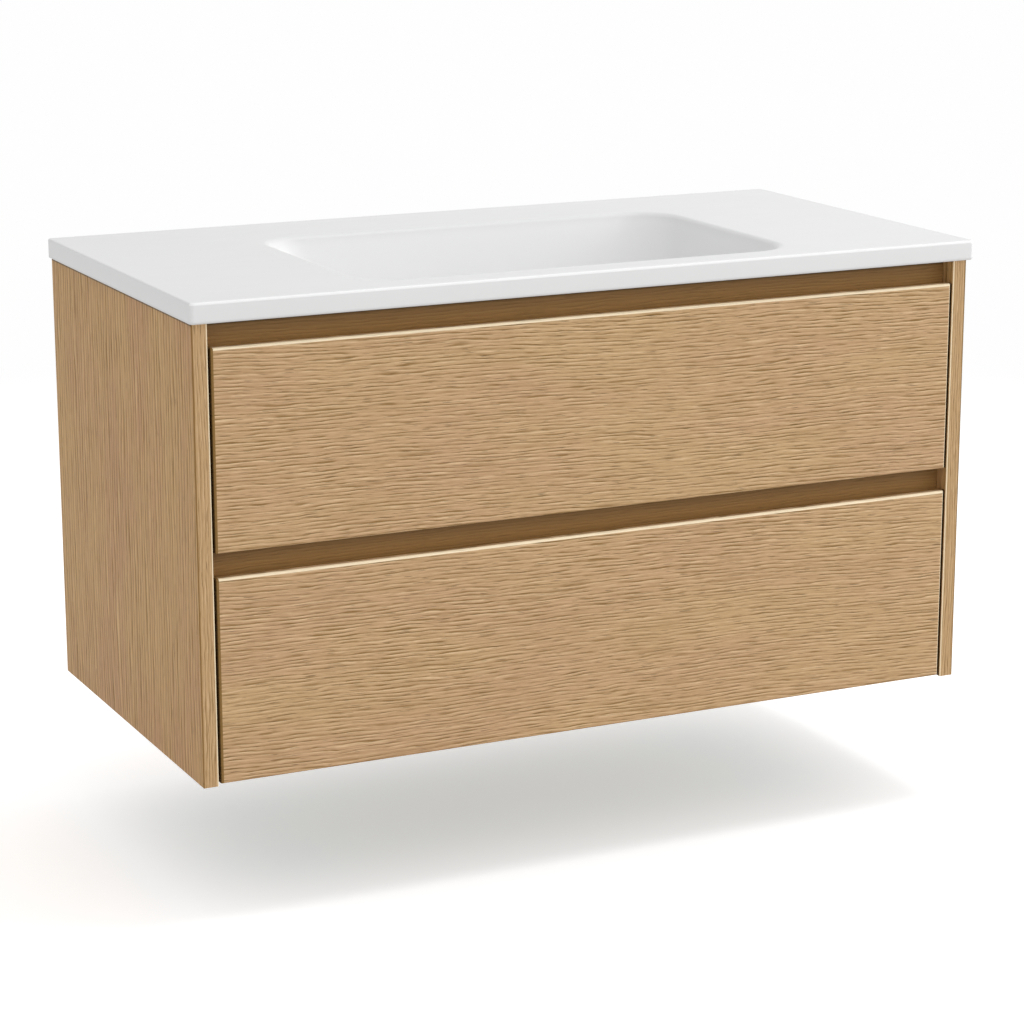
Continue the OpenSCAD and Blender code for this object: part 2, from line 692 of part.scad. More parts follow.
// The plug: a shallow dome on a stem that slides in the hub. It is drawn closed.
dome_r = flange_r - 3;
dome_edge = 1.5;
dome_h = 3.5;
dome_steps = 8;
skirt_h = 4;
stem_below = 3;                            // of the stem under the hub, with the plug open
plug_z = flange_z + flange_t + play;       // underside of the dome's rim
stem_len = plug_z + plug_travel + stem_below - hub_z;
module waste_plug() color(chrome) translate([0, waste_y, plug_z]) {
    // the rim runs straight up, then turns in over a quarter wave to the middle
    rotate_extrude() polygon(concat(
        [[0, 0], [dome_r, 0]],
        [for (i = [0:dome_steps]) let (t = 90 * i / dome_steps)
            [dome_r * cos(t), dome_edge + dome_h * sin(t)]]));
    translate([0, 0, -skirt_h]) cylinder(r = waste_bore_r - 1, h = skirt_h);
    translate([0, 0, -stem_len]) cylinder(r = stem_r, h = stem_len);
}

// ---------------------------------------------------------------- runners

// The fixed rail's section: a flange on the side panel, a web below, and a lipped channel.
module rail_section() {
    far_u = channel_u + channel_w;
    square([sheet_t, runner_flange_h]);
    square([far_u, sheet_t]);
    translate([channel_u, 0]) square([sheet_t, channel_h]);
    translate([far_u - sheet_t, 0]) square([sheet_t, channel_h]);
    translate([channel_u, channel_h - sheet_t]) square([lip_w + sheet_t, sheet_t]);
    translate([far_u - lip_w - sheet_t, channel_h - sheet_t]) square([lip_w + sheet_t, sheet_t]);
}

// The carrier under the drawer is the same channel, upside down and without the flange.
module carrier_section() {
    far_u = channel_u + channel_w;
    low = channel_h + slide_gap;
    translate([channel_u, runner_h - sheet_t]) square([channel_w, sheet_t]);
    translate([channel_u, low]) square([sheet_t, runner_h - low]);
    translate([far_u - sheet_t, low]) square([sheet_t, runner_h - low]);
    translate([channel_u, low]) square([lip_w + sheet_t, sheet_t]);
    translate([far_u - lip_w - sheet_t, low]) square([lip_w + sheet_t, sheet_t]);
}

slide_mid_u = channel_u + channel_w / 2;
tab_half = 22;                             // half length of the flange's tab at a screw
tab_h = 14;

// The slide between them: two flanges on an upright web.
module slide_section() {
    translate([slide_mid_u - slide_flange_w / 2, slide_foot_h]) square([slide_flange_w, sheet_t]);
    translate([slide_mid_u - slide_flange_w / 2, slide_head_h]) square([slide_flange_w, sheet_t]);
    translate([slide_mid_u - slide_web_t / 2, slide_foot_h])
        square([slide_web_t, slide_head_h + sheet_t - slide_foot_h]);
}

module fixed_rail(side, z) color(steel) on_side(side) translate([0, 0, z]) difference() {
    along_y(runner_front_y, runner_len) rail_section();
    for (y = runner_screw_ys)
        rod_x(-far, y, runner_screw_h, screw_r + fit_gap, sheet_t + 2 * far);
    // the flange is cut back between its screws, as it is stamped
    for (i = [0, 1])
        block([-far, runner_screw_ys[i] + tab_half, runner_flange_h - tab_h],
              [sheet_t + far, runner_screw_ys[i + 1] - tab_half, runner_flange_h + far]);
}

slide_front_y = runner_front_y + slide_end;
slide_back_y = runner_back_y - slide_end;
module slide(side, z) color(steel) on_side(side) translate([0, 0, z])
    along_y(slide_front_y, slide_back_y - slide_front_y) slide_section();

carrier_short = 3;                         // how far the carriers stop short of the boxes' backs
carrier_back_y = box_back_y - carrier_short;
module carrier(side, z) color(steel) on_side(side) translate([0, 0, z])
    along_y(runner_front_y, carrier_back_y - runner_front_y) carrier_section();

// Nylon glides clasp the slide's flanges: two run in the fixed rail, two in the carrier.
glide_spare = 5;                           // left of a channel past its glide at full travel
low_glide_ys = [slide_back_y - glide_len, runner_front_y + half_travel + glide_spare];
high_glide_ys = [slide_front_y, carrier_back_y - half_travel - glide_len - glide_spare];
glide_mouth_h = 3;
module glide(low, high, opening) difference() {
    block([channel_u + sheet_t + play, 0, low], [channel_u + channel_w - sheet_t - play, glide_len, high]);
    translate([0, -far, 0]) along_y(0, glide_len + 2 * far) slide_section();
    block([slide_mid_u - lip_w, -far, opening - glide_mouth_h / 2],
          [slide_mid_u + lip_w, glide_len + far, opening + glide_mouth_h / 2]);
}

module glides(z) color(nylon) for (side = [-1, 1]) on_side(side) translate([0, 0, z]) {
    for (y = low_glide_ys) translate([0, y, 0])
        glide(sheet_t + play, channel_h - sheet_t - play, channel_h - sheet_t);
    for (y = high_glide_ys) translate([0, y, 0])
        glide(channel_h + slide_gap + sheet_t + play, runner_h - sheet_t - play,
              channel_h + slide_gap + sheet_t);
}

// The soft-close units lie on the fixed rails' webs, beside the channel.
damper_len = 90;
damper_back_room = 12;
damper_y = runner_back_y - damper_len - damper_back_room;
damper_mid_u = (sheet_t + channel_u) / 2;
damper_w = channel_u - sheet_t - channel_room;
damper_h = 9;
damper_base_h = 5;
damper_head_len = 14;
damper_tube_r = 3.6;
module runner_dampers() color(grey_plastic)
    for (side = [-1, 1], z = [upper_runner_z, lower_runner_z]) on_side(side)
        translate([damper_mid_u, damper_y, z + sheet_t]) {
            block([-damper_w / 2, 0, 0], [damper_w / 2, damper_len, damper_base_h]);
            block([-damper_w / 2, 0, 0], [damper_w / 2, damper_head_len, damper_h]);
            rod_y(0, damper_head_len, damper_base_h, damper_tube_r, damper_len - damper_head_len);
        }

module runner_screws() color(steel)
    for (side = [-1, 1], y = runner_screw_ys, z = [upper_runner_z, lower_runner_z]) on_side(side)
        panel_screw(y, z + runner_screw_h, sheet_t);

// ---------------------------------------------------------------- drawers

// A front's section: front face at y = 0, soft arrises in front, a finger bevel behind its top.
module front_section(h) difference() {
    square([front_t, h]);
    translate([0, h - front_arris_r]) difference() {
        translate([-far, 0]) square([front_arris_r + far, front_arris_r + far]);
        translate([front_arris_r, 0]) circle(front_arris_r);
    }
    difference() {
        translate([-far, -far]) square(front_foot_r + far);
        translate([front_foot_r, front_foot_r]) circle(front_foot_r);
    }
    translate([front_t, h]) rotate(45) square(grip_bevel * sqrt(2), center = true);
}

module drawer_front(z, h, screw_zs) color(oak) difference() {
    translate([0, face_y, z]) along_x(-front_half, 2 * front_half) front_section(h);
    for (x = front_screw_xs, sz = screw_zs)
        rod_y(x, box_front_y - front_screw_in - hole_spare, sz, screw_r + fit_gap / 2,
              front_screw_in + hole_spare + far);
}

box_inner = box_half - box_t;
front_screw_side = 80;                     // from a box's side to the nearest front screw
front_screw_xs = [-1, 0, 1] * (box_inner - front_screw_side);
front_screw_in = 12;
front_screw_edge = 18;
function box_floor_z(runner_z) = runner_z + runner_h;
function box_foot_z(runner_z) = box_floor_z(runner_z) - box_hem;
function front_screw_zs(runner_z, h) = [
    box_floor_z(runner_z) + box_floor_t + front_screw_edge,
    box_foot_z(runner_z) + h - front_screw_edge
];
upper_box_h = nut_z - upper_box_room - box_foot_z(upper_runner_z);
lower_box_h = mid_rail_z - lower_box_room - box_foot_z(lower_runner_z);
upper_screw_zs = front_screw_zs(upper_runner_z, upper_box_h);
lower_screw_zs = front_screw_zs(lower_runner_z, lower_box_h);

module upper_front() drawer_front(upper_foot_z, upper_front_h, upper_screw_zs);
module lower_front() drawer_front(lower_foot_z, lower_front_h, lower_screw_zs);

// A box's side, grooved along its inner face for the floor, with its top edge eased.
box_round = 2;
module box_side(side, runner_z, h) color(box_board) on_side(side) translate([box_gap, 0, 0]) difference() {
    along_y(box_front_y, box_len) translate([0, box_foot_z(runner_z)]) {
        square([box_t, h - box_round]);
        translate([box_round, 0]) square([box_t - 2 * box_round, h]);
        for (u = [box_round, box_t - box_round]) translate([u, h - box_round]) circle(box_round);
    }
    block([box_t - box_groove, box_front_y - far, box_floor_z(runner_z)],
          [box_t + far, box_back_y + far, box_floor_z(runner_z) + box_floor_t]);
}

module subfront(runner_z, h, screw_zs) color(box_board) difference() {
    block([-box_inner, box_front_y, box_foot_z(runner_z)],
          [box_inner, box_front_y + box_t, box_foot_z(runner_z) + h]);
    block([-box_inner - far, box_front_y + box_t - box_groove, box_floor_z(runner_z)],
          [box_inner + far, box_front_y + box_t + far, box_floor_z(runner_z) + box_floor_t]);
    for (x = front_screw_xs, z = screw_zs)
        rod_y(x, box_front_y - far, z, screw_r + fit_gap, box_t + 2 * far);
}

module box_floor(runner_z) block(
    [-box_inner - box_groove, box_front_y + box_t - box_groove, box_floor_z(runner_z)],
    [box_inner + box_groove, box_back_y, box_floor_z(runner_z) + box_floor_t]);

module box_back(x0, x1, runner_z, h) color(box_board) block(
    [x0, box_back_y - box_t, box_floor_z(runner_z) + box_floor_t],
    [x1, box_back_y, box_foot_z(runner_z) + h]);

// The outline of the cut-out that lets the trap pass, open at the drawer's back.
trap_front_y = waste_y - trap_front;
module trap_outline(grow, back_y) {
    half = trap_w / 2 + grow;
    r = trap_corner_r + grow;
    low = trap_front_y - grow;
    translate([-half, low + r]) square([2 * half, back_y - low - r]);
    translate([-half + r, low]) square([2 * (half - r), r + 1]);
    for (side = [-1, 1]) translate([side * (half - r), low + r]) circle(r);
}

module upper_floor() color(box_board) difference() {
    box_floor(upper_runner_z);
    translate([0, 0, box_floor_z(upper_runner_z) - far]) linear_extrude(box_floor_t + 2 * far)
        trap_outline(0, box_back_y + far);
}

module upper_trap_guard() color(nylon)
    translate([0, 0, box_floor_z(upper_runner_z) + box_floor_t])
        linear_extrude(upper_box_h - box_hem - box_floor_t) difference() {
            trap_outline(guard_t, box_back_y);
            trap_outline(0, box_back_y + far);
        }

upper_back_x = trap_w / 2 + guard_t;
module lower_floor() color(box_board) box_floor(lower_runner_z);

// Locking clips under the floor's front corners hold the drawer on its carriers.
clip_w = 24;
clip_len = 52;
clip_h = 13;
clip_plate_t = 5;
clip_block = [18, 20];
clip_lever_r = 6;
module clips(runner_z) color(grey_plastic) for (side = [-1, 1]) on_side(side)
    translate([channel_u + channel_w, box_front_y + box_t, runner_z + runner_h - clip_h]) {
        block([0, 0, clip_h - clip_plate_t], [clip_w, clip_len, clip_h]);
        block([0, 0, 0], [clip_block.x, clip_block.y, clip_h]);
        translate([clip_w - clip_lever_r - 2, clip_len - clip_lever_r - 10, 0])
            cylinder(r = clip_lever_r, h = clip_h - clip_plate_t + 1);
    }

module front_screws(screw_zs) color(steel) for (x = front_screw_xs, z = screw_zs) {
    rod_y(x, box_front_y - front_screw_in, z, screw_r, front_screw_in + box_t + screw_bite);
    rod_y(x, box_front_y + box_t, z, screw_head_r, screw_head_t);
}

// ---------------------------------------------------------------- nodes

side_panel(-1);  // side_panel_left
side_panel(1);  // side_panel_right
front_edge_bands();
bottom_panel();
top_front_rail();
mid_front_rail();
rear_top_rail();
rear_bottom_rail();
carcass_dowels();
cam_bolts();
cam_locks();
front_bumpers();
hanger(-1);  // hanger_left
hanger(1);  // hanger_right
hanger_hook(-1);  // hanger_hook_left
hanger_hook(1);  // hanger_hook_right
hanger_screws();
wall_plate(-1);  // wall_plate_left
wall_plate(1);  // wall_plate_right
basin();
waste_body();
waste_seals();
waste_nut();
waste_plug();
fixed_rail(-1, upper_runner_z);  // upper_rail_left
fixed_rail(1, upper_runner_z);  // upper_rail_right
fixed_rail(-1, lower_runner_z);  // lower_rail_left
fixed_rail(1, lower_runner_z);  // lower_rail_right
runner_dampers();
runner_screws();
slide(-1, upper_runner_z);  // upper_slide_left
slide(1, upper_runner_z);  // upper_slide_right
glides(upper_runner_z);  // upper_glides
slide(-1, lower_runner_z);  // lower_slide_left
slide(1, lower_runner_z);  // lower_slide_right
glides(lower_runner_z);  // lower_glides
upper_front();
box_side(-1, upper_runner_z, upper_box_h);  // upper_side_left
box_side(1, upper_runner_z, upper_box_h);  // upper_side_right
subfront(upper_runner_z, upper_box_h, upper_screw_zs);  // upper_subfront
box_back(-box_inner, -upper_back_x, upper_runner_z, upper_box_h);  // upper_back_left
box_back(upper_back_x, box_inner, upper_runner_z, upper_box_h);  // upper_back_right
upper_floor();
upper_trap_guard();
carrier(-1, upper_runner_z);  // upper_carrier_left
carrier(1, upper_runner_z);  // upper_carrier_right
clips(upper_runner_z);  // upper_clips
front_screws(upper_screw_zs);  // upper_front_screws
lower_front();
box_side(-1, lower_runner_z, lower_box_h);  // lower_side_left
box_side(1, lower_runner_z, lower_box_h);  // lower_side_right
subfront(lower_runner_z, lower_box_h, lower_screw_zs);  // lower_subfront
box_back(-box_inner, box_inner, lower_runner_z, lower_box_h);  // lower_back
lower_floor();
carrier(-1, lower_runner_z);  // lower_carrier_left
carrier(1, lower_runner_z);  // lower_carrier_right
clips(lower_runner_z);  // lower_clips
front_screws(lower_screw_zs);  // lower_front_screws
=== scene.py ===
import json
from math import cos, pi, radians, sin, tan

import bmesh
import bpy
import numpy as np
from bpy.props import FloatProperty, FloatVectorProperty, PointerProperty
from bpy.types import Operator, Panel, PropertyGroup
from mathutils import Matrix, Vector


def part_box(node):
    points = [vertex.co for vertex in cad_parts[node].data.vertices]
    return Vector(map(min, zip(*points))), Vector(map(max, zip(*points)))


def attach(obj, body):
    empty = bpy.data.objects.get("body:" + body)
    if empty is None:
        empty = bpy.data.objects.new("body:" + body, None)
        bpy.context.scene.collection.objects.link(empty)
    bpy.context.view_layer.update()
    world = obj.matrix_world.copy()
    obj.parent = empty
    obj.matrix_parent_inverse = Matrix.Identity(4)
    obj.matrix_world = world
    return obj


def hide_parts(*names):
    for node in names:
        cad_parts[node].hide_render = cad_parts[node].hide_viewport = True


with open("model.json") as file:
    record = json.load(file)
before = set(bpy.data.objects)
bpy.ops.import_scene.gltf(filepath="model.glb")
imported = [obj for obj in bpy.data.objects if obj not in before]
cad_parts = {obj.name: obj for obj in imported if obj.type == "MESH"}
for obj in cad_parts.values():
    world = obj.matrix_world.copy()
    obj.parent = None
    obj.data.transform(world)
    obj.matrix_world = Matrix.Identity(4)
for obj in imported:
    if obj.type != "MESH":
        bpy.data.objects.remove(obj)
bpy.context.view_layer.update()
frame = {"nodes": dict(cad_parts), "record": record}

bl_info = {
    "name": "Floating bathroom vanity",
    "version": (1, 0, 0),
    "blender": (4, 5, 0),
    "location": "3D Viewport > Sidebar > Vanity",
    "description": "Basin, oak cabinet, drawers and finishes of a wall-hung vanity",
    "category": "Add Mesh",
}

MM = 0.001
NODES = frame["nodes"]
BOX = {name: tuple(np.array(corner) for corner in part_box(name)) for name in NODES}
CABINET, UPPER, LOWER, PLUG = "cabinet", "upper_drawer", "lower_drawer", "plug"

# The slab's corners, the cabinet's foot and top, half the width inside it, and the waste's axis.
SLAB_LOW, SLAB_HIGH = BOX["basin"]
CABINET_FOOT, CABINET_TOP = (corner[2] for corner in BOX["side_panel_left"])
INNER = float(-BOX["side_panel_left"][1][0])
WASTE_Y = float(BOX["waste_nut"][0][1] + BOX["waste_nut"][1][1]) / 2
CREASE = radians(30)  # edges bent more than this are drawn sharp


# ---------------------------------------------------------------- sizes and colours

def length(name, description, default):
    """A size in metres."""
    return FloatProperty(name=name, description=description, default=default, min=0.0, max=1.0,
                         unit="LENGTH", precision=4)


def tint(name, description, default):
    """A plain colour."""
    return FloatVectorProperty(name=name, description=description, default=default, size=3,
                               min=0.0, max=1.0, subtype="COLOR")


class VanityShape(PropertyGroup):
    """Sizes that give the visible pieces their form; the rest comes from the frame."""
    bowl_width: length("Bowl width", "Width of the bowl's mouth", 0.570)
    bowl_depth: length("Bowl length", "The bowl's mouth from front to back", 0.360)
    bowl_ledge: length("Bowl ledge", "Ledge in front of the bowl", 0.040)
    bowl_drop: length("Bowl drop", "Depth of the bowl below the slab's top", 0.110)
    mouth_radius: length("Mouth radius", "Corner radius of the bowl's mouth", 0.056)
    floor_radius: length("Floor radius", "Corner radius of the bowl's floor", 0.070)
    lip_radius: length("Lip radius", "Radius of the rounded lip", 0.008)
    wall_lean: FloatProperty(name="Wall lean", description="Lean of the bowl's walls from upright",
                             default=radians(22), subtype="ANGLE")
    floor_fillet: length("Floor fillet", "Radius between the bowl's walls and floor", 0.035)
    shell: length("Shell", "Wall of the bowl", 0.009)
    floor_fall: length("Floor fall", "Fall of the bowl's floor to the waste", 0.006)
    waste_hole: length("Waste hole", "Radius of the hole through the bowl", 0.0225)
    flange_seat: length("Flange seat", "Radius of the flange's seat", 0.0323)
    slab_corner: length("Slab corner", "Radius of the slab's upright corners", 0.006)
    slab_edge: length("Slab edge", "Radius of the slab's top and bottom edges", 0.0025)
    front_arris: length("Front arris", "Radius of a drawer front's edges", 0.003)
    front_foot: length("Front foot", "Radius of a drawer front's bottom edge", 0.0015)
    finger_bevel: length("Finger bevel", "Bevel behind the top edge of a front", 0.008)
    board_arris: length("Board arris", "Radius of the side panels' edges", 0.0008)
    band_arris: length("Band arris", "Radius of the edge bands' edges", 0.00035)
    floor_gap: length("Floor gap", "Height of the cabinet above the floor", 0.165)


class VanityColours(PropertyGroup):
    """Plain colours of the finishes, before grain, wear and light."""
    oak_light: tint("Oak, light", "Light lines of the oak", (0.604, 0.397, 0.204))
    oak_dark: tint("Oak, dark", "Dark lines of the oak", (0.25, 0.138, 0.036))
    oak_warm: tint("Oak, warm", "Pinkish patches of the oak", (0.585, 0.365, 0.207))
    band_light: tint("Edge band oak", "Light lines of the edge bands", (0.552, 0.354, 0.177))
    side_light: tint("Side oak, light", "Light lines of the side panels", (0.550, 0.330, 0.134))
    side_warm: tint("Side oak, warm", "Reddish patches of the side panels", (0.512, 0.278, 0.132))
    side_dark: tint("Side oak, dark", "Dark lines of the side panels", (0.25, 0.135, 0.030))
    # the rails' oak is a deeper brown than the fronts', darkened further as painted shade of the
    # finger grooves
    rail_light: tint("Rail oak, light", "Light lines of the rails", (0.380, 0.203, 0.063))
    rail_dark: tint("Rail oak, dark", "Dark lines of the rails", (0.21, 0.11, 0.034))
    stone: tint("Basin", "Cast stone of the basin", (0.763, 0.763, 0.763))
    board: tint("Box board", "Faced board of the drawer boxes", (0.62, 0.575, 0.50))
    beech: tint("Beech", "Dowels", (0.66, 0.47, 0.27))
    beech_dark: tint("Beech, dark", "Dark lines of the dowels", (0.45, 0.28, 0.14))
    steel: tint("Steel", "Runners and screws", (0.60, 0.61, 0.63))
    zinc: tint("Zinc", "Wall plates and cams", (0.50, 0.51, 0.53))
    chrome: tint("Chrome", "Waste and plug", (0.80, 0.81, 0.83))
    nylon: tint("White plastic", "Glides, bumpers and the trap guard", (0.74, 0.74, 0.72))
    plastic: tint("Grey plastic", "Clips, hangers and soft-close units", (0.15, 0.155, 0.165))
    rubber: tint("Rubber", "Seals", (0.025, 0.025, 0.026))


# ---------------------------------------------------------------- shader maths

class Field:
    """A shader socket. + - * / and the named calls add Math nodes to its graph."""

    def __init__(self, graph, socket):
        self.graph, self.socket = graph, socket

    def maths(self, operation, first, second=None):
        values = {0: first} if second is None else {0: first, 1: second}
        made = self.graph.node("ShaderNodeMath", {"operation": operation}, values)
        return self.graph.field(made)

    def __add__(self, other):
        return self.maths("ADD", self, other)

    def __sub__(self, other):
        return self.maths("SUBTRACT", self, other)

    def __rsub__(self, other):
        return self.maths("SUBTRACT", other, self)

    def __mul__(self, other):
        return self.maths("MULTIPLY", self, other)

    def __truediv__(self, other):
        return self.maths("DIVIDE", self, other)

    __radd__, __rmul__ = __add__, __mul__

    def greatest(self, other):
        return self.maths("MAXIMUM", self, other)

    def size(self):
        return self.maths("ABSOLUTE", self)

    def sine(self):
        return self.maths("SINE", self)

    def step(self, low, high):
        """0 below low, 1 above high and a smooth rise between; a fall where low is the higher."""
        inputs = {"Value": self, "From Min": low, "From Max": high}
        return self.graph.field(
            self.graph.node("ShaderNodeMapRange", {"interpolation_type": "SMOOTHSTEP"}, inputs))


class Graph:
    """A tree of shader nodes in the making."""

    def __init__(self, tree):
        self.tree = tree

    def node(self, kind, settings=None, inputs=None):
        made = self.tree.nodes.new(kind)
        for key, value in (settings or {}).items():
            setattr(made, key, value)
        for key, value in (inputs or {}).items():
            if isinstance(value, Field):
                value = value.socket
            if isinstance(value, bpy.types.NodeSocket):
                self.tree.links.new(value, made.inputs[key])
            else:
                made.inputs[key].default_value = value
        return made

    def field(self, node, output=0):
        return Field(self, node.outputs[output])

    def vector(self, x, y, z):
        return self.field(self.node("ShaderNodeCombineXYZ", inputs={0: x, 1: y, 2: z}))

    def noise(self, x, y, z, detail=2.0, roughness=0.5):
        """Noise from 0 to 1 with features one unit long."""
        inputs = {"Vector": self.vector(x, y, z), "Scale": 1.0, "Detail": detail,
                  "Roughness": roughness}
        return self.field(self.node("ShaderNodeTexNoise", inputs=inputs))

    def mix(self, factor, first, second):
        """Colours mixed by a factor. Plain colours are tuples of three."""
        first, second = ((*c, 1.0) if isinstance(c, tuple) else c for c in (first, second))
        inputs = {0: factor, 6: first, 7: second}
        return self.field(self.node("ShaderNodeMix", {"data_type": "RGBA"}, inputs), 2)


class Finish(Graph):
    """A procedural material in the making, on Object coordinates in millimetres."""

    def __init__(self, name, gloss=0.5, **uniform):
        self.material = bpy.data.materials.new(name)
        self.material.use_nodes = True
        super().__init__(self.material.node_tree)
        self.shader = next(n for n in self.tree.nodes if n.type == "BSDF_PRINCIPLED")
        for key, value in uniform.items():
            self.shader.inputs[key.capitalize()].default_value = value
        self.shader.inputs["Specular IOR Level"].default_value = gloss
        place = self.node("ShaderNodeTexCoord").outputs["Object"]
        split = self.node("ShaderNodeSeparateXYZ", inputs={0: place})
        self.axes = {axis: self.field(split, i) * 1000 for i, axis in enumerate("xyz")}

    def link(self, **sockets):
        for key, value in sockets.items():
            self.tree.links.new(value.socket, self.shader.inputs[key.replace("_", " ").title()])

    def bump(self, height, distance, strength=1.0):
        inputs = {"Strength": strength, "Distance": distance, "Height": height}
        self.link(normal=self.field(self.node("ShaderNodeBump", inputs=inputs)))
        return self.material


ARRIS_HIGHLIGHT = (1.0, 0.85, 0.60)  # painted highlight on an oak arris
LIP_HIGHLIGHT_GAIN = (1.30, 1.42, 1.64)  # how much paler than the light lines the painted highlight on a groove's lip is
LIP_LAG = 1.9  # radians of the wave from a groove to its lip
CUT_APART = (977, 331, 53)  # millimetres of veneer along, across and through, between seeds


def oak(name, along, across, seed, light, dark, warm, pitch=4.5, depth=1.0, relief=0.4,
        tilt=0.0, edges=None):
    """Brushed oak veneer. Its grooves are the crests of a sine wave across the grain, pitch
    millimetres long, which runs off the board's line by tilt, slips with stretched noise and
    wanders slowly. The same wave taken a third further on gives each groove a painted highlight
    on the lip beside it, where light would catch the relief, and other noise sets how firm each
    stretch is. Between them lie fine fibres and short dark pores; broad patches and long streaks
    change the tone. edges gives, place by place, the shares of painted highlight on arrises, of
    brown edge (painted shade on the fronts, a glue line on the bands) and of painted shade."""
    f = Finish(name, gloss=0.25, roughness=0.55)
    # a runs along the grain, c across it in the face, t through the board.
    through = ({"x", "y", "z"} - {along, across}).pop()
    a, c, t = (f.axes[axis] + apart * seed
               for axis, apart in zip((along, across, through), CUT_APART))
    drift = (f.noise(a / 480, c / 240, t / 200, detail=1) - 0.5) * 28 + a * tilt
    sway = (f.noise(a / 50, c / 26, t / 60, detail=2) - 0.5) * 2.6
    line = c + drift + sway
    slip = f.noise(a / (14 * pitch), line / (1.8 * pitch), t / 30, detail=2) * 1.5
    phase = (line / pitch + slip) * (2 * pi)
    firm = f.noise(a / (6 * pitch), line / (1.1 * pitch), t / 40, detail=2).step(0.32, 0.66)
    firm = firm * 0.85 + 0.15
    grooves = phase.sine().step(0.0, 1.0) * firm
    lips = (phase + LIP_LAG).sine().step(0.0, 1.0) * firm
    dashes = f.noise(a / 24, line, t / 2.5, detail=1).step(0.35, 0.27)
    fibres = f.noise(a / 30, line, t / 4, detail=3, roughness=0.7)
    patches = f.noise(a / 300, line / 85, t / 90, detail=2).step(0.3, 0.7)
    depths = f.noise(a / 170, c / 48, t / 80, detail=2).step(0.2, 0.8) * 0.4 + 0.75
    streaks = f.noise(a / 150, line / 8, t / 50, detail=3).step(0.50, 0.72)
    colour = f.mix(patches, light, warm)
    # painted highlight on the lip beside each groove, where light would catch the relief
    lip_highlight = tuple(min(1.0, gain * v) for gain, v in zip(LIP_HIGHLIGHT_GAIN, light))
    colour = f.mix(lips * depths * (0.75 * depth), colour, lip_highlight)
    colour = f.mix(grooves * depths * (0.74 * depth), colour, dark)
    colour = f.mix(streaks * (0.16 * depth), colour, dark)
    colour = f.mix(fibres.step(0.62, 0.34) * (0.30 * depth), colour, dark)
    colour = f.mix(dashes * (0.5 * depth), colour, tuple(0.45 * v for v in dark))
    # edge tones: pale is a painted highlight on arrises, brown is painted shade on the fronts and
    # a glue line on the bands, and the third is painted shade in gaps and recesses
    tones = {"pale": ARRIS_HIGHLIGHT, "brown": dark, "joint": tuple(0.16 * v for v in dark)}
    for tone, share in (edges(f) if edges else {}).items():
        colour = f.mix(share, colour, tones[tone])
    f.link(base_color=colour, roughness=0.50 + grooves * 0.12 + dashes * 0.12)
    return f.bump(lips * 0.3 - grooves - dashes * 0.4 + fibres * 0.3, relief * MM)


def stone(name, colour, bowl_width):
    """Cast stone: faint clouds and fine grains, satin, with the softest rubbed marks, with painted
    light that makes the bowl paler, a painted highlight on the slab's front arris and painted
    shade at the slab's foot."""
    f = Finish(name, roughness=0.32)
    x, y, z = f.axes.values()
    end, front, top, under, half_bowl = (v / MM for v in (
        SLAB_HIGH[0], SLAB_LOW[1], SLAB_HIGH[2], CABINET_TOP, bowl_width / 2))
    clouds = f.noise(x / 180, y / 180, z / 180, detail=3)
    grains = f.noise(x / 0.7, y / 0.7, z / 0.7, detail=1)
    wipes = f.noise(x / 55, y / 16, z / 30, detail=3, roughness=0.65)
    # painted highlight along the slab's front top arris
    arris = (front - y).step(-4.0, -2.4) * z.step(top - 3.4, top - 2.2)
    outside = (x.size() - end).greatest(front - y).step(-4.0, -2.5)
    # painted shade along the slab's foot
    foot = z.step(under + 4.5, under) * outside
    # painted light: the inside of the bowl is made paler
    bowl = x.size().step(half_bowl + 5, half_bowl - 5) * z.step(top - 2, top - 14)
    bowl = bowl * (1 - outside)
    shade = f.mix(clouds.step(0.3, 0.7), colour, tuple(0.985 * v for v in colour))
    shade = f.mix(grains.step(0.60, 0.72) * 0.10, shade, tuple(0.8 * v for v in colour))
    # painted light in the bowl, painted highlight on the arris, painted shade at the foot
    shade = f.mix(bowl, shade, tuple(1.04 * v for v in colour))
    shade = f.mix(arris * 0.7, shade, (0.98, 0.98, 0.98))
    shade = f.mix(foot * 0.5, shade, tuple(0.6 * v for v in colour))
    f.link(base_color=shade, roughness=0.27 + wipes * 0.12 - arris * 0.06)
    return f.bump(grains * 0.4 + clouds, 0.04 * MM, 0.5)


def faced_board(name, along, colour):
    """Board faced in a pale woven print: two crossed sets of fine threads over faint clouds."""
    f = Finish(name, roughness=0.5, gloss=0.4)
    a, c, z = f.axes[along], f.axes["y" if along == "x" else "x"], f.axes["z"]
    warp = f.noise(a / 24, z / 0.7, c / 9, detail=2)
    weft = f.noise(a / 0.7, z / 12, c / 0.9, detail=2)
    clouds = f.noise(a / 130, z / 90, c / 90, detail=2)
    shade = f.mix(warp.step(0.35, 0.65) * 0.6, colour, tuple(0.80 * v for v in colour))
    shade = f.mix(weft.step(0.4, 0.7) * 0.35, shade, tuple(1.12 * v for v in colour))
    shade = f.mix(clouds * 0.25, shade, tuple(0.88 * v for v in colour))
    f.link(base_color=shade, roughness=0.44 + warp * 0.14)
    return f.bump(warp + weft * 0.6, 0.05 * MM, 0.6)


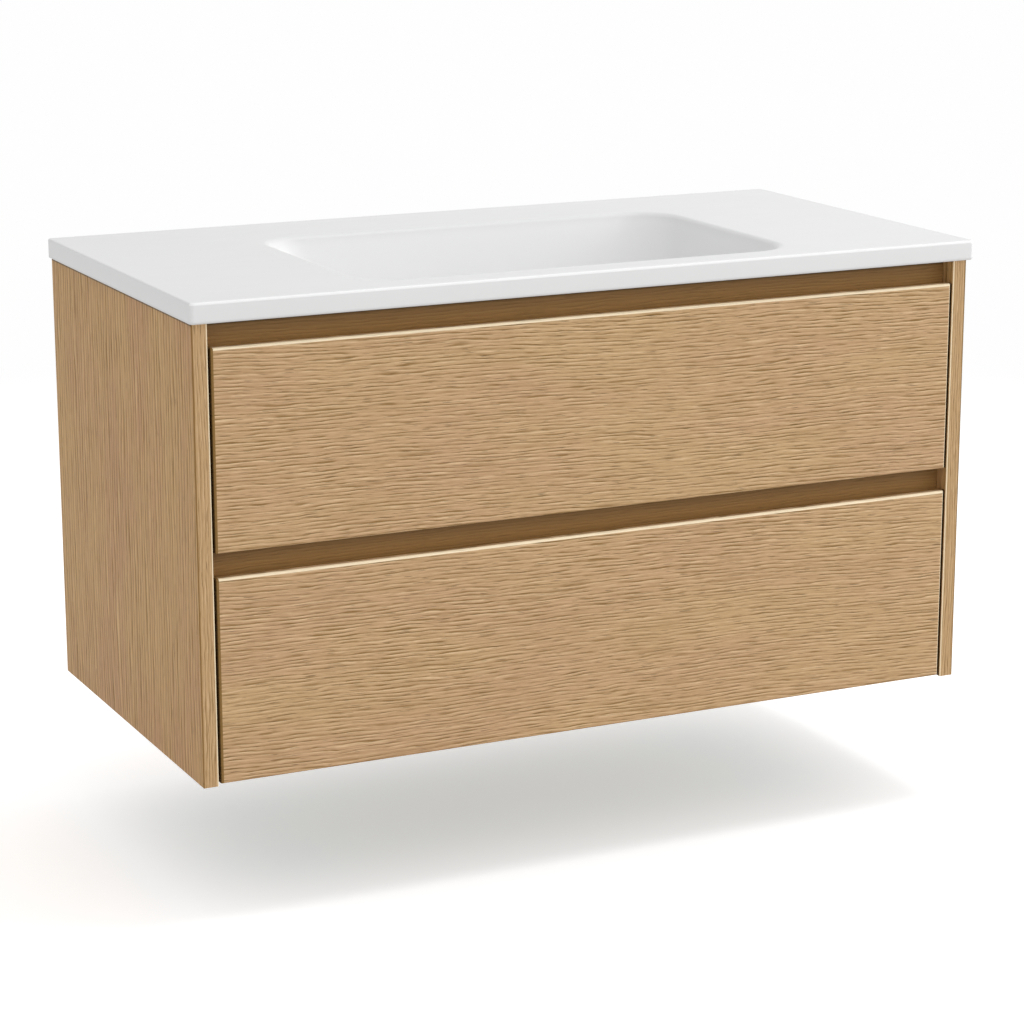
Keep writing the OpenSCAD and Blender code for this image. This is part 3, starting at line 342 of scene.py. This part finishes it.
def rolled_metal(name, colour, roughness, spangle=0.0):
    """Sheet metal drawn along Y: hair lines along the sheet and, where it is zinc plated,
    broad pale crystals; dull specks in the plating."""
    f = Finish(name, metallic=1.0, roughness=roughness)
    x, y, z = f.axes.values()
    hair = f.noise(y / 45, x / 0.35, z / 0.35, detail=2)
    cells = f.node("ShaderNodeTexVoronoi", inputs={"Vector": f.vector(x / 9, y / 9, z / 9),
                                                   "Scale": 1.0})
    crystal = f.field(cells, "Color")
    grey = f.field(f.node("ShaderNodeSeparateColor", inputs={0: crystal}))
    specks = f.noise(x / 2.2, y / 2.2, z / 2.2, detail=2).step(0.62, 0.75)
    shade = f.mix(hair.step(0.3, 0.7) * 0.5, colour, tuple(0.80 * v for v in colour))
    shade = f.mix(grey * spangle, shade, tuple(min(1.0, 1.3 * v) for v in colour))
    shade = f.mix(specks * 0.3, shade, tuple(0.6 * v for v in colour))
    f.link(base_color=shade, roughness=roughness - 0.06 + hair * 0.14 + specks * 0.15)
    return f.bump(hair, 0.02 * MM, 0.5)


def chromed(name, colour):
    """Polished chrome with dried water marks and the finest wiping scratches."""
    f = Finish(name, metallic=1.0, roughness=0.06)
    x, y, z = f.axes.values()
    marks = f.noise(x / 7, y / 7, z / 7, detail=3, roughness=0.6).step(0.55, 0.72)
    wipes = f.noise(x / 14, y / 0.3, z / 0.5, detail=2)
    f.link(base_color=f.mix(marks * 0.25, colour, tuple(0.86 * v for v in colour)),
           roughness=0.05 + marks * 0.08 + wipes * 0.05)
    return f.bump(wipes, 0.004 * MM, 0.4)


def moulded(name, colour, roughness=0.45):
    """Moulded plastic or rubber: a fine spark-eroded skin, slight flow marks and dust."""
    f = Finish(name, roughness=roughness, gloss=0.4)
    x, y, z = f.axes.values()
    sparks = f.noise(x / 0.45, y / 0.45, z / 0.45, detail=2)
    flow = f.noise(x / 18, y / 40, z / 18, detail=2)
    dust = f.noise(x / 5, y / 5, z / 5, detail=4, roughness=0.7).step(0.55, 0.8)
    shade = f.mix(flow.step(0.3, 0.7) * 0.5, colour, tuple(0.88 * v for v in colour))
    shade = f.mix(dust * 0.12, shade, (0.5, 0.49, 0.47))
    f.link(base_color=shade, roughness=roughness - 0.05 + sparks * 0.12 + dust * 0.15)
    return f.bump(sparks, 0.03 * MM, 0.6)


# ---------------------------------------------------------------- surfaces

def perimeter(corner, side):
    """Unit tables for a rounded rectangle's outline: the sign of each place's corner centre and
    the direction of its arc. Each quarter has corner steps of arc, then side steps of straight."""
    sign_u, sign_v = np.array([1.0, -1, -1, 1])[:, None], np.array([1.0, 1, -1, -1])[:, None]
    quarter = np.arange(4)[:, None]
    arc, run = np.arange(corner + 1) / corner, np.arange(1, side) / side
    angle = np.hstack([quarter + arc, quarter + 1 + 0 * run]) * (pi / 2)
    u, v = (np.hstack([s + 0 * arc, s + (np.roll(s, -1, 0) - s) * run]) for s in (sign_u, sign_v))
    return u.ravel(), v.ravel(), np.cos(angle).ravel(), np.sin(angle).ravel()


def stack(low_u, high_u, low_v, high_v, radius, w, axes, corner, side):
    """Levels of rounded rectangles as a grid of points. On each level a point is
    (middle + sign * (half side - radius) + radius * (cos, sin), w); axes says which of x, y
    and z the three values are."""
    sign_u, sign_v, cosine, sine = perimeter(corner, side)
    lu, hu, lv, hv, r, w = (a[:, None] for a in np.broadcast_arrays(
        *(np.asarray(v, float) for v in (low_u, high_u, low_v, high_v, radius, w))))
    r = np.minimum(r, np.minimum(hu - lu, hv - lv) / 2)
    grid = np.empty((len(w), len(sign_u), 3))
    grid[..., "xyz".index(axes[0])] = (lu + hu) / 2 + sign_u * ((hu - lu) / 2 - r) + r * cosine
    grid[..., "xyz".index(axes[1])] = (lv + hv) / 2 + sign_v * ((hv - lv) / 2 - r) + r * sine
    grid[..., "xyz".index(axes[2])] = w + 0 * sign_u
    return grid


def skin(name, grid, ring=False):
    """Joins a grid of levels by places with quads. A ring's last level meets its first;
    otherwise both ends are capped."""
    count, places = grid.shape[:2]
    index = np.arange(count * places).reshape(count, places)
    low, high = (index, np.roll(index, -1, 0)) if ring else (index[:-1], index[1:])
    quads = np.stack([low, np.roll(low, -1, 1), np.roll(high, -1, 1), high], -1)
    faces = quads.reshape(-1, 4).tolist()
    if not ring:
        faces += [index[0][::-1].tolist(), index[-1].tolist()]
    mesh = bpy.data.meshes.new(name)
    mesh.from_pydata(grid.reshape(-1, 3).tolist(), [], faces)
    return closed(bpy.data.objects.new(name, mesh))


def closed(piece):
    """Merges a piece's doubles, turns its faces outwards and marks its sharp edges."""
    work = bmesh.new()
    work.from_mesh(piece.data)
    bmesh.ops.remove_doubles(work, verts=work.verts, dist=1e-6)
    bmesh.ops.dissolve_degenerate(work, edges=work.edges, dist=1e-6)
    bmesh.ops.recalc_face_normals(work, faces=work.faces)
    work.to_mesh(piece.data)
    work.free()
    piece.data.shade_smooth()
    piece.data.set_sharp_from_angle(angle=CREASE)
    bpy.context.scene.collection.objects.link(piece)
    return piece


def join(name, parts):
    """One mesh of several pieces."""
    work = bmesh.new()
    for part in parts:
        work.from_mesh(part.data)
        bpy.data.objects.remove(part)
    mesh = bpy.data.meshes.new(name)
    work.to_mesh(mesh)
    work.free()
    mesh.set_sharp_from_angle(angle=CREASE)
    whole = bpy.data.objects.new(name, mesh)
    bpy.context.scene.collection.objects.link(whole)
    return whole


def quarter(radius, steps):
    """(inset, rise) along a quarter round, from the flat end to the upright side."""
    turn = np.arange(steps + 1) / steps * (pi / 2)
    return radius * (1 - np.sin(turn)), radius * (1 - np.cos(turn))


def board(name, low, high, edge, axis, steps=4):
    """A board with all its edges rounded: rounded rectangles along its axis that shrink over a
    quarter round at both ends, with a narrow flat band before each cap."""
    axes = {"x": "yzx", "y": "zxy"}[axis]
    order = ["xyz".index(a) for a in axes]
    low, high = np.asarray(low, float)[order], np.asarray(high, float)[order]
    inset, rise = quarter(edge, steps)
    inset = np.concatenate([[inset[0] + edge], inset])
    rise = np.concatenate([[0], rise])
    inset = np.concatenate([inset, inset[::-1]])
    w = np.concatenate([low[2] + rise, high[2] - rise[::-1]])
    radius = np.maximum(edge - inset, 1e-5) + 1e-5
    grid = stack(low[0] + inset, high[0] - inset, low[1] + inset, high[1] - inset, radius, w,
                 axes, corner=steps, side=6)
    return skin(name, grid)


def turned(name, profile, centre, places=96):
    """A piece turned about an upright axis: the point at angle a is
    centre + (r cos a, r sin a, z) for each (r, z) of the profile."""
    angle = np.arange(places) / places * (2 * pi)
    r, z = np.array(profile, float).T[:, :, None]
    grid = np.stack([centre[0] + r * np.cos(angle), centre[1] + r * np.sin(angle),
                     z + 0 * angle], -1)
    return skin(name, grid)


# ---------------------------------------------------------------- pieces

def dress(piece, material):
    """Gives every slot of a piece, or a first slot, one material."""
    if piece.material_slots:
        for slot in piece.material_slots:
            slot.material = material
    else:
        piece.data.materials.append(material)


def stand_for(piece, body, slot, material, *nodes):
    """Puts a finished piece on its body in place of its CAD nodes."""
    dress(piece, material)
    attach(piece, body)
    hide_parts(*nodes)


def make_basin(s, material):
    """The basin is one closed ring of levels: from the waste hole over the floor, up the fillet
    and the leaning wall, over the lip, across the slab, round its edges, and back under it and
    down the outer shell to the hole. Each level is a rounded rectangle, given by its sides, its
    corner radius and its height. In a rounding of radius r the level at a turn t lies r cos t
    outside the arc's centre and r sin t below it."""
    top, under, front = SLAB_HIGH[2], CABINET_TOP, SLAB_LOW[1]
    bowl_y = front + s.bowl_ledge + s.bowl_depth / 2
    half_u, half_v, lean = s.bowl_width / 2, s.bowl_depth / 2, s.wall_lean
    lip_in, lip_down = s.lip_radius * cos(lean), s.lip_radius * (1 - sin(lean))
    wall_end = s.bowl_drop - s.floor_fillet * (1 - sin(lean))
    wall_in = lip_in + (wall_end - lip_down) * tan(lean)
    mid_in, mid_down = wall_in + s.floor_fillet * cos(lean), s.bowl_drop - s.floor_fillet
    recess, boss_wall = 3 * MM, 9.7 * MM  # the flange's recess and the boss round it
    well = top - s.bowl_drop - s.floor_fall
    seat = well - recess
    boss, boss_radius = seat - s.shell, s.flange_seat + boss_wall
    ledge, blend = 3.5 * MM, 4 * MM  # flat bands that keep the shading of the faces level

    def bowl(inset, down, out=0.0):
        inset, down = np.broadcast_arrays(np.asarray(inset, float), down)
        radius = s.mouth_radius + (s.floor_radius - s.mouth_radius) * inset / mid_in + out
        return np.stack([-half_u + inset, half_u - inset, bowl_y - half_v + inset,
                         bowl_y + half_v - inset, radius, top - down], -1)

    def disc(radius, z):
        return np.array([[-radius, radius, WASTE_Y - radius, WASTE_Y + radius, radius, z]])

    def slab(inset, z):
        inset, z = np.broadcast_arrays(np.asarray(inset, float), z)
        return np.stack([SLAB_LOW[0] + inset, SLAB_HIGH[0] - inset, front + inset,
                         SLAB_HIGH[1] - inset, s.slab_corner - inset, z], -1)

    def between(first, last, count, power=1.0):
        """Levels from one to the next, whose heights follow a power of the way gone."""
        first, last = np.atleast_2d(first)[-1], np.atleast_2d(last)[0]
        way = (np.arange(count) + 1) / (count + 1)
        mixed = first + (last - first) * way[:, None]
        mixed[:, 5] = first[5] + (last[5] - first[5]) * way ** power
        return mixed

    turn = np.linspace(pi / 2, lean, 13)
    fillet = bowl(mid_in - s.floor_fillet * np.cos(turn), mid_down + s.floor_fillet * np.sin(turn))
    turn = np.linspace(pi / 2 - lean, 0, 11)
    lip = bowl(s.lip_radius * np.sin(turn), s.lip_radius * (1 - np.cos(turn)))
    inset, rise = quarter(s.slab_edge, 6)
    upper = slab(inset, top - rise)
    lower = slab(inset[::-1], under + rise[::-1])
    outer = s.floor_fillet + s.shell
    shell_in = wall_in - (wall_end - (top - under)) * tan(lean) - s.shell / cos(lean)
    turn = np.linspace(lean, pi / 2, 9)
    shell = bowl(mid_in - outer * np.cos(turn), mid_down + outer * np.sin(turn), s.shell)
    well_edge, mouth, rim = disc(s.flange_seat + blend, well), bowl(-MM, 0.0), slab(ledge, top)
    parts = [disc(s.waste_hole, boss), disc(s.waste_hole, seat), disc(s.flange_seat, seat),
             disc(s.flange_seat, well), well_edge, between(well_edge, fillet, 7, 1.25), fillet,
             between(fillet, lip, 4), lip, mouth, between(mouth, rim, 3), rim, upper, lower,
             slab(ledge, under), bowl(shell_in - blend, top - under, s.shell),
             bowl(shell_in, top - under, s.shell), shell, disc(boss_radius, shell[-1, 5]),
             disc(boss_radius, boss)]
    rows = np.concatenate([np.atleast_2d(part) for part in parts])
    piece = skin("basin_slab", stack(*rows.T, "xyz", corner=14, side=22), ring=True)
    stand_for(piece, CABINET, "basin_stone", material, "basin")


def make_front(name, node, body, s, material):
    """A drawer front: rounded rectangles from its face to its back. Behind the face each side
    comes out over a quarter round, which has its own radius r at the foot: the inset at a depth
    d is r - sqrt(r^2 - (r - d)^2). Behind the top edge a bevel falls away for the fingers."""
    low, high = BOX[node]
    upright, blend, hair = 0.7 * MM, 4 * MM, 0.1 * MM
    inset, rise = quarter(s.front_arris, 7)
    left = np.maximum(0, s.front_foot - rise)
    foot = s.front_foot - np.sqrt(np.maximum(0, s.front_foot ** 2 - left ** 2))
    thick = high[1] - low[1]
    y = np.concatenate([[0], rise, [thick - s.finger_bevel, thick - hair, thick]])
    sides = np.concatenate([[inset[0] + blend], inset, [0, 0, hair]])
    foot = np.concatenate([[foot[0] + blend], foot, [0, 0, 0]])
    bevel = np.maximum(0, y - (thick - s.finger_bevel))
    grid = stack(low[0] + sides, high[0] - sides, low[2] + foot, high[2] - sides - bevel,
                 upright, low[1] + y, "xzy", corner=4, side=24)
    stand_for(skin(name, grid), body, "oak", material, node)


def make_sides(s, panel, band):
    """Side panels and the bands on their front edges."""
    for word in ("left", "right"):
        node = "side_panel_" + word
        piece = board("panel_" + word, *BOX[node], s.board_arris, "x")
        stand_for(piece, CABINET, "oak", panel, node)
    low, high = BOX["front_edge_bands"]
    strips = [board("band", (first, *low[1:]), (last, *high[1:]), s.band_arris, "y")
              for first, last in ((low[0], -INNER), (INNER, high[0]))]
    stand_for(join("edge_bands", strips), CABINET, "oak", band, "front_edge_bands")


def make_plug(material):
    """The plug: a dome, a quarter of an ellipse turned, over an upright rim, with its skirt and
    stem below."""
    low, high = BOX["waste_plug"]
    radius, rise, rim = (high[0] - low[0]) / 2, 3.5 * MM, 1.5 * MM
    stem, skirt, skirt_drop, soft = 5 * MM, 16.95 * MM, 4 * MM, 0.3 * MM
    rim_z = high[2] - rise - rim
    skirt_z = rim_z - skirt_drop
    turn = np.linspace(0, pi / 2, 25)[:-1]
    dome = np.stack([radius * np.cos(turn), rim_z + rim + rise * np.sin(turn)], -1)
    profile = [(0, low[2]), (stem - soft, low[2]), (stem, low[2] + soft), (stem, skirt_z),
               (skirt - soft, skirt_z), (skirt, skirt_z + soft), (skirt, rim_z),
               (radius - soft, rim_z), (radius, rim_z + soft), *dome.tolist(), (0, high[2])]
    piece = turned("plug", profile, (0, WASTE_Y))
    stand_for(piece, PLUG, "chrome", material, "waste_plug")


# ---------------------------------------------------------------- stage

# The camera was solved from the corners of the slab and of the cabinet in the photograph.
CAMERA_PLACE = (-1.5689, -3.5344, 0.6639)
CAMERA_YAW, CAMERA_PITCH, CAMERA_ROLL = radians(25.63), radians(13.96), radians(-0.08)
FOCAL_PIXELS, IMAGE_PIXELS, SENSOR = 2998.0, 1024, 36.0
FLOOR_RADIUS = 6.0
FLOOR_PALE, FLOOR_COOL = (0.97, 0.97, 0.97), (0.66, 0.85, 0.98)  # in the open, under the oak
MIDDLE = (0.0, -0.25, -0.15)  # where the lamps point
WHITE = 0.9911  # the background, a shade under full white


def make_camera():
    """The photograph's camera, from its place, its turns and its focal length in pixels."""
    data = bpy.data.cameras.new("camera")
    data.sensor_width, data.lens = SENSOR, FOCAL_PIXELS / IMAGE_PIXELS * SENSOR
    data.clip_start, data.clip_end = 0.05, 60.0
    forward = Vector((sin(CAMERA_YAW) * cos(CAMERA_PITCH), cos(CAMERA_YAW) * cos(CAMERA_PITCH),
                      -sin(CAMERA_PITCH)))
    level = Vector((cos(CAMERA_YAW), -sin(CAMERA_YAW), 0.0))
    raised = level.cross(forward)
    right = cos(CAMERA_ROLL) * level + sin(CAMERA_ROLL) * raised
    up = cos(CAMERA_ROLL) * raised - sin(CAMERA_ROLL) * level
    camera = bpy.data.objects.new("camera", data)
    camera.matrix_world = Matrix.Translation(CAMERA_PLACE) @ Matrix(
        (right, up, -forward)).transposed().to_4x4()
    bpy.context.scene.collection.objects.link(camera)
    bpy.context.scene.camera = camera


def linked(floor, state):
    """A light linking collection: a lamp lights all but the floor, or the floor alone."""
    group = bpy.data.collections.new("floor_" + state.lower() + "d")
    group.objects.link(floor)
    group.collection_objects[0].light_linking.link_state = state
    return group


def make_lamp(name, place, size, power, lit=None):
    """A soft rectangular lamp that points at the cabinet's middle."""
    data = bpy.data.lights.new(name, "AREA")
    data.shape, data.size, data.size_y, data.energy = "RECTANGLE", *size, power
    lamp = bpy.data.objects.new(name, data)
    if lit:
        lamp.light_linking.receiver_collection = lit
    away = (Vector(place) - Vector(MIDDLE)).to_track_quat("Z", "Y")
    lamp.matrix_world = Matrix.Translation(place) @ away.to_matrix().to_4x4()
    bpy.context.scene.collection.objects.link(lamp)


def make_world(level, lean):
    """Soft light from all round, a share lean stronger from the right and as much weaker from
    the left; what the camera sees of it is white."""
    world = bpy.data.worlds.new("studio")
    world.use_nodes = True
    bpy.context.scene.world = world
    g = Graph(world.node_tree)
    g.tree.nodes.clear()
    way = g.node("ShaderNodeTexCoord").outputs["Generated"]
    across = g.field(g.node("ShaderNodeSeparateXYZ", inputs={0: way}))
    soft = g.node("ShaderNodeBackground", inputs={0: (1, 1, 1, 1),
                                                  1: across * (level * lean) + level})
    white = g.node("ShaderNodeBackground", inputs={0: (WHITE, WHITE, WHITE, 1), 1: 1.0})
    seen = g.node("ShaderNodeLightPath").outputs["Is Camera Ray"]
    mixed = g.node("ShaderNodeMixShader",
                   inputs={0: seen, 1: soft.outputs[0], 2: white.outputs[0]})
    g.node("ShaderNodeOutputWorld", inputs={0: mixed.outputs[0]})


def make_floor(gap, lift, reach):
    """A plain pale disc under the cabinet, lit so that it keeps the shadow. To the camera it is
    a lift brighter than its light, so that the shadow fades into the white background, and past
    reach it is all that white. In the shadow it is cooler, which evens out the light that the
    oak sends down."""
    level, middle, places = CABINET_FOOT - gap, MIDDLE[1], 128
    angle = np.arange(places) / places * (2 * pi)
    rim = np.stack([FLOOR_RADIUS * np.cos(angle), middle + FLOOR_RADIUS * np.sin(angle),
                    level + 0 * angle], -1)
    mesh = bpy.data.meshes.new("floor")
    mesh.from_pydata(rim.tolist(), [], [list(range(places))])
    floor = bpy.data.objects.new("floor", mesh)
    bpy.context.scene.collection.objects.link(floor)
    f = Finish("floor_white", gloss=0.0, roughness=0.9)
    x, y = f.axes["x"] / 1000, f.axes["y"] / 1000 - middle
    seen = f.field(f.node("ShaderNodeLightPath"), "Is Camera Ray")
    under = seen * x.size().step(0.62, 0.30) * y.size().step(0.36, 0.05)
    f.link(base_color=f.mix(under, FLOOR_PALE, FLOOR_COOL))
    glow = f.node("ShaderNodeEmission", inputs={0: (1, 1, 1, 1), 1: seen * lift})
    white = f.node("ShaderNodeEmission", inputs={0: (WHITE, WHITE, WHITE, 1), 1: 1.0})
    near = f.node("ShaderNodeAddShader", inputs={0: f.shader.outputs[0], 1: glow.outputs[0]})
    far = seen * (x * x + y * y).step(reach * reach, 4 * reach * reach)
    mixed = f.node("ShaderNodeMixShader",
                   inputs={0: far, 1: near.outputs[0], 2: white.outputs[0]})
    out = next(n for n in f.tree.nodes if n.type == "OUTPUT_MATERIAL")
    f.tree.links.new(mixed.outputs[0], out.inputs[0])
    mesh.materials.append(f.material)
    return floor


# ---------------------------------------------------------------- operators

def shape():
    return bpy.context.scene.vanity_shape


def paint(key):
    """One of the scene's plain colours as a tuple."""
    return tuple(getattr(bpy.context.scene.vanity_colours, key))


def front_edges(box, arris):
    """A front's top and right arrises get a painted highlight; its left arris and foot brown
    painted shade, and its left end dark painted shade just behind the face. All distances here and
    below are millimetres."""
    low, high = box[0] / MM, box[1] / MM
    arris = arris / MM

    def shares(f):
        x, y, z = f.axes.values()
        face = y.step(low[1] + 1.5 * arris, low[1] + arris)
        top = z.step(high[2] - arris, high[2] - 0.8 * arris)
        right = x.step(high[0] - 2.5, high[0] - 1.5)
        left = (0 - x).step(high[0] - 1.25 * arris, high[0] - arris)
        foot = z.step(low[2] + 2.2, low[2] + 1.0)
        end = (0 - x).step(high[0] - 1.0, high[0] - 0.5) * y.step(low[1] + 8, low[1] + 6)
        # pale is a painted highlight on the top and right arrises; brown is painted shade on the
        # left arris and foot; the third share is painted shade in the gap at the left end
        return {"pale": (top * 0.95).greatest(right * 0.75) * face,
                "brown": left.greatest(foot * 0.4), "joint": end * 0.85}
    return shares


def panel_edges(f):
    """A side panel gets painted shade along the slab, and the right one painted shade deep in the
    gap beside the fronts, but not in the finger groove between them."""
    x, y, z = f.axes.values()
    top = CABINET_TOP / MM
    face, high = BOX["upper_front"][0][1] / MM, BOX["upper_front"][1][2] / MM
    low, second = BOX["upper_front"][0][2] / MM, BOX["lower_front"][1][2] / MM
    middle, half = (low + second) / 2, (low - second) / 2
    deep = (y - face).step(1.6, 2.6) * (y - face).step(10, 8)
    beside = z.step(high, high - 1) * (z - middle).size().step(half - 1, half)
    gap = (x - INNER / MM).size().step(0.5, 0.2) * deep * beside
    # painted shade along the slab and deep in the gap beside the fronts
    return {"joint": (z.step(top - 4.0, top - 2.4) * 0.75).greatest(gap * 0.9)}


def rail_edges(f):
    """The rails get painted shade in the roots of the finger grooves, under the slab and a front.
    """
    z = f.axes["z"]
    top, low = CABINET_TOP / MM, BOX["upper_front"][0][2] / MM

    def root(edge, nearest):
        return z.step(edge - 28, edge - 8) * 0.35 + z.step(edge - 9.5, edge - 5.5) * nearest
    # painted shade in the roots of the finger grooves
    return {"joint": root(top, 0.5) + root(low, 0.15) * z.step(low + 60, low + 40)}


def band_edges(f):
    """The inner arris of an edge band gets a painted highlight; its outer edge shows a dark glue
    line.
    """
    x = f.axes["x"].size()
    outer = BOX["front_edge_bands"][1][0] / MM
    # painted highlight on the inner arris
    return {"pale": x.step(INNER / MM + 1.7, INNER / MM + 0.9) * 0.8,
            "brown": x.step(outer - 1.9, outer - 1.0)}


def oaks(kind, name, along, across, seed, **how):
    """The oak of one kind of board, in the scene's colours: light, dark and warm lines."""
    keys = {"front": ("oak_light", "oak_dark", "oak_warm"),
            "band": ("band_light", "oak_dark", "band_light"),
            "side": ("side_light", "side_dark", "side_warm"),
            "rail": ("rail_light", "rail_dark", "rail_light"),
            "dowel": ("beech", "beech_dark", "beech")}[kind]
    return oak(name, along, across, seed, *(paint(key) for key in keys), **how)


class VANITY_OT_stage(Operator):
    """Camera, floor, soft lamps and white background"""
    bl_idname = "vanity.stage"
    bl_label = "Stage"

    def execute(self, context):
        context.scene.view_settings.view_transform = "Standard"
        make_camera()
        make_world(level=0.83, lean=0.2)
        floor = make_floor(shape().floor_gap, lift=0.355, reach=1.5)
        others, only = linked(floor, "EXCLUDE"), linked(floor, "INCLUDE")
        make_lamp("right", (2.9, -0.5, 0.7), (1.5, 1.5), 35, others)
        make_lamp("right_front", (2.6, -2.6, 1.3), (2.0, 2.0), 6, others)
        make_lamp("front", (0.1, -3.4, 1.6), (3.0, 1.6), 8, others)
        make_lamp("above", (0.6, -0.7, 2.2), (0.8, 0.8), 5)
        make_lamp("over_floor", (0.6, -0.7, 2.2), (0.8, 0.8), 13, only)
        return {"FINISHED"}


class VANITY_OT_basin(Operator):
    """Slab and bowl in one casting"""
    bl_idname = "vanity.basin"
    bl_label = "Basin"

    def execute(self, context):
        cast = stone("cast_stone", paint("stone"), shape().bowl_width)
        make_basin(shape(), cast)
        return {"FINISHED"}


class VANITY_OT_fronts(Operator):
    """The two drawer fronts in oak, with lying grain"""
    bl_idname = "vanity.fronts"
    bl_label = "Drawer fronts"

    def execute(self, context):
        for seed, word, body in ((1, "upper", UPPER), (4, "lower", LOWER)):
            veneer = oaks("front", "oak_" + word, "x", "z", seed, depth=1.17, tilt=0.026,
                          edges=front_edges(BOX[word + "_front"], shape().front_arris))
            make_front("front_" + word, word + "_front", body, shape(), veneer)
        return {"FINISHED"}


class VANITY_OT_carcass(Operator):
    """Side panels, edge bands, rails and bottom panel"""
    bl_idname = "vanity.carcass"
    bl_label = "Carcass"

    def execute(self, context):
        panel = oaks("side", "oak_side", "z", "y", 7, pitch=9.0, depth=1.05, relief=0.35,
                     edges=panel_edges)
        band = oaks("band", "oak_band", "z", "x", 9, pitch=3.6, depth=0.9, relief=0.2,
                    edges=band_edges)
        make_sides(shape(), panel, band)
        rail = oaks("rail", "oak_rail", "x", "z", 11, pitch=4.0, depth=0.5, relief=0.1,
                    edges=rail_edges)
        for node in ("top_front_rail", "mid_front_rail"):
            dress(NODES[node], rail)
        dress(NODES["bottom_panel"],
              oaks("side", "oak_floor", "x", "y", 13, pitch=3.6, depth=0.7, relief=0.1))
        return {"FINISHED"}


class VANITY_OT_waste(Operator):
    """Waste, nut, seals and plug"""
    bl_idname = "vanity.waste"
    bl_label = "Waste"

    def execute(self, context):
        chrome = chromed("chrome", paint("chrome"))
        make_plug(chrome)
        for node in ("waste_body", "waste_nut"):
            dress(NODES[node], chrome)
        dress(NODES["waste_seals"], moulded("rubber", paint("rubber"), 0.7))
        return {"FINISHED"}


class VANITY_OT_fittings(Operator):
    """Boards of the drawer boxes, runners, hangers and other fittings, which keep their shapes"""
    bl_idname = "vanity.fittings"
    bl_label = "Boxes and fittings"

    def execute(self, context):
        finishes = {
            "box_board": faced_board("box_board", "y", paint("board")),
            "box_cross": faced_board("box_cross", "x", paint("board")),
            "beech": oaks("dowel", "beech", "x", "y", 21, pitch=2.0, depth=0.3, relief=0.05),
            "steel": rolled_metal("steel", paint("steel"), 0.34, 0.15),
            "zinc": rolled_metal("zinc", paint("zinc"), 0.42, 0.5),
            "white_plastic": moulded("white_plastic", paint("nylon")),
            "grey_plastic": moulded("grey_plastic", paint("plastic"), 0.5),
        }
        for row in frame["record"]["subparts"]:
            node, finish = row["node"], row["material_slot"]
            if finish == "box_board" and "side" not in node:
                finish = "box_cross"
            if finish in finishes:
                dress(NODES[node], finishes[finish])
        return {"FINISHED"}


class VANITY_PT_panel(Panel):
    """Lists the vanity's pieces, sizes and colours"""
    bl_label = "Floating vanity"
    bl_idname = "VANITY_PT_panel"
    bl_space_type = "VIEW_3D"
    bl_region_type = "UI"
    bl_category = "Vanity"

    def draw(self, context):
        for piece in PIECES:
            self.layout.operator(piece.bl_idname)
        for group in (context.scene.vanity_shape, context.scene.vanity_colours):
            box = self.layout.box()
            for key in group.__annotations__:
                box.prop(group, key)


PIECES = (VANITY_OT_stage, VANITY_OT_basin, VANITY_OT_fronts, VANITY_OT_carcass,
          VANITY_OT_waste, VANITY_OT_fittings)
CLASSES = (VanityShape, VanityColours, *PIECES, VANITY_PT_panel)


def register():
    for item in CLASSES:
        bpy.utils.register_class(item)
    bpy.types.Scene.vanity_shape = PointerProperty(type=VanityShape)
    bpy.types.Scene.vanity_colours = PointerProperty(type=VanityColours)


def unregister():
    del bpy.types.Scene.vanity_shape, bpy.types.Scene.vanity_colours
    for item in reversed(CLASSES):
        bpy.utils.unregister_class(item)


def main():
    register()
    for piece in PIECES:
        group, call = piece.bl_idname.split(".")
        getattr(getattr(bpy.ops, group), call)()


if __name__ == "__main__":
    main()
